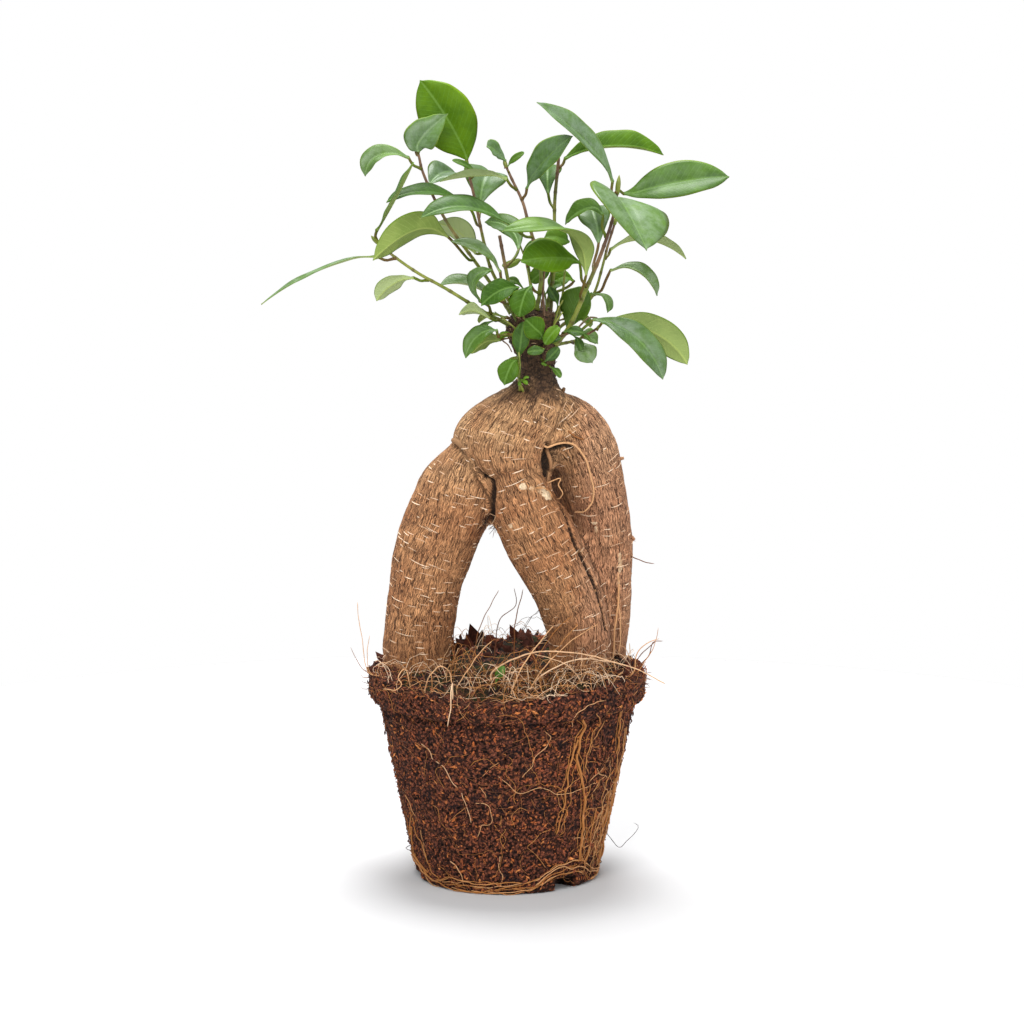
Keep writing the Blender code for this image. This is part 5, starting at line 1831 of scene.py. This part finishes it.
def add_flake(mesh, place, way, out, length, width, thick, pick):
    across = way.cross(out).normalized()
    points = [place - way * length / 2, place + way * length / 2 + out * thick,
              place + across * width / 2, place - across * width / 2,
              place + out * thick * 1.2, place - out * thick]
    mesh.add(points, LUMP, share=pick.uniform(0.85, 1.0), scar=pick.choice((0.9, 0.7, 0.4, 0.1)))


WOOD.append(surface_of(make_piece("stalks_and_buds", make_stalks(), SHOOT_FINISH)))

# %% [markdown]
# ### Leaves on the nearest wood
#
# Every small leaf starts on the bark, shoot or stalk that is nearest to its
# foot, so none hangs in the air.

# %% Small leaves on their stalks
small_leaves = leaf_mesh()
for number, (width, tone, (foot, base, tip, face)) in enumerate(SMALL_LEAVES):
    grow_leaf(small_leaves, nearest_wood(foot), base, tip, width, tone, face, number * 0.9)
make_piece("small_leaves", small_leaves, LEAF_FINISH)
fallen = leaf_mesh()                # a bit of leaf that dropped on the roots
grow_leaf(fallen, (-4.5, -41, crumbs(-4.5, -41) - 0.3), (-4.3, -41.2, 90.5), (-1.2, -43.0, 96.5),
          4.0, 0.25, (0.1, -0.9, 0.3), 3.3)
make_piece("fallen_leaf", fallen, LEAF_FINISH)


# %% [markdown]
# ## Light, floor and camera
#
# A plant on a white table in a soft studio: one wide lamp in front, a weaker one
# on the right so that no leaf goes black, and one overhead, a little behind,
# which throws the soft shadow round the foot of the ball. The round table is lit
# just enough to melt into the white backdrop, so no edge shows from any side,
# while the walls above are dimmer. A long lens from 1.7 m keeps the plant's
# upright lines upright.

# %% Studio
def aimed(name, data, place, target):
    """A lamp or a camera at a place, looking at a target."""
    made = put(name, data)
    made.location = place
    made.rotation_euler = (target - Vector(place)).to_track_quat("-Z", "Y").to_euler()
    return made


def lamp(name, place, target, power, size):
    light = bpy.data.lights.new(name, "AREA")
    light.shape, light.size, light.energy = "DISK", size, power
    aimed(name, light, place, target)


FLOOR = 0.45                       # radius of the round white table, in metres
TABLE_WHITE = (194, 194, 195)      # the lamps bring it up to the backdrop's white


def make_floor():
    finish = Finish("white table", roughness=0.9, base_color=TABLE_WHITE)
    rim = [(FLOOR * math.cos(a), FLOOR * math.sin(a), 0) for a in np.linspace(0, math.tau, 97)[:-1]]
    data = bpy.data.meshes.new("floor")
    data.from_pydata(rim, [], [tuple(range(len(rim)))])
    data.materials.append(finish.material)
    floor = put("floor", data)
    floor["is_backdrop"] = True


SKY = 0.54                         # the studio's walls and ceiling, against 1 for the backdrop
HORIZON = (-0.02, 0.06)            # where one turns into the other, -1 straight down to 1 up


def make_world():
    world = bpy.data.worlds.new("studio")
    world.use_nodes = True
    tree = world.node_tree
    background = tree.nodes["Background"]
    background.inputs["Color"].default_value = (1, 1, 1, 1)
    place = tree.nodes.new("ShaderNodeTexCoord")
    split = tree.nodes.new("ShaderNodeSeparateXYZ")
    grade = tree.nodes.new("ShaderNodeMapRange")
    for key, value in zip(("From Min", "From Max", "To Min", "To Max"), (*HORIZON, 1.0, SKY)):
        grade.inputs[key].default_value = value
    tree.links.new(place.outputs["Generated"], split.inputs[0])
    tree.links.new(split.outputs["Z"], grade.inputs["Value"])
    tree.links.new(grade.outputs["Result"], background.inputs["Strength"])
    bpy.context.scene.world = world
    bpy.context.scene.view_settings.view_transform = "Standard"    # white stays white


MIDDLE = Vector((0, 0, (CAD_BOX[0].z + CAD_BOX[1].z) / 2))
LAMPS = {                          # place in metres, power in watts, size in metres
    "key": ((-0.35, -1.35, 1.35), 25, 0.9),
    "fill": ((1.2, -1.0, 0.7), 9, 1.0),
    "top": ((0.0, 0.35, 1.5), 31, 0.8),
}
for name, (place, power, size) in LAMPS.items():
    lamp(name, place, MIDDLE, power, size)
make_floor()
make_world()
print("the plant's middle is", round(MIDDLE.z / MM), "mm up")

# %% [markdown]
# ### The camera
#
# The lens follows from the field: how wide a strip the camera sees one metre
# away.

# %% Camera
CAMERA_PLACE = Vector((0, -1.7, 0.44))
CAMERA_TARGET = Vector((0, 0, 0.152))
FIELD = 0.2437                     # the width that one metre of distance shows, in metres
SHIFT = 0.0049                     # the plant stands a little left of the middle
SENSOR = 36                        # the width of the film, in mm

camera_data = bpy.data.cameras.new("camera")
camera_data.sensor_width = SENSOR
camera_data.lens = SENSOR / FIELD
camera_data.shift_x = SHIFT
camera = aimed("camera", camera_data, CAMERA_PLACE, CAMERA_TARGET)
bpy.context.scene.camera = camera
print("lens:", round(camera_data.lens), "mm")

# %% [markdown]
# ## The size before and after
#
# Dressing must not change the plant's size, so both boxes are written down: the
# imported solids' box and the box of what is shown now.

# %% Sizes
SHOWN_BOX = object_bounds()
for which, box in (("solids", CAD_BOX), ("shown", SHOWN_BOX)):
    print(which, *([round(c / MM, 1) for c in corner] for corner in box))
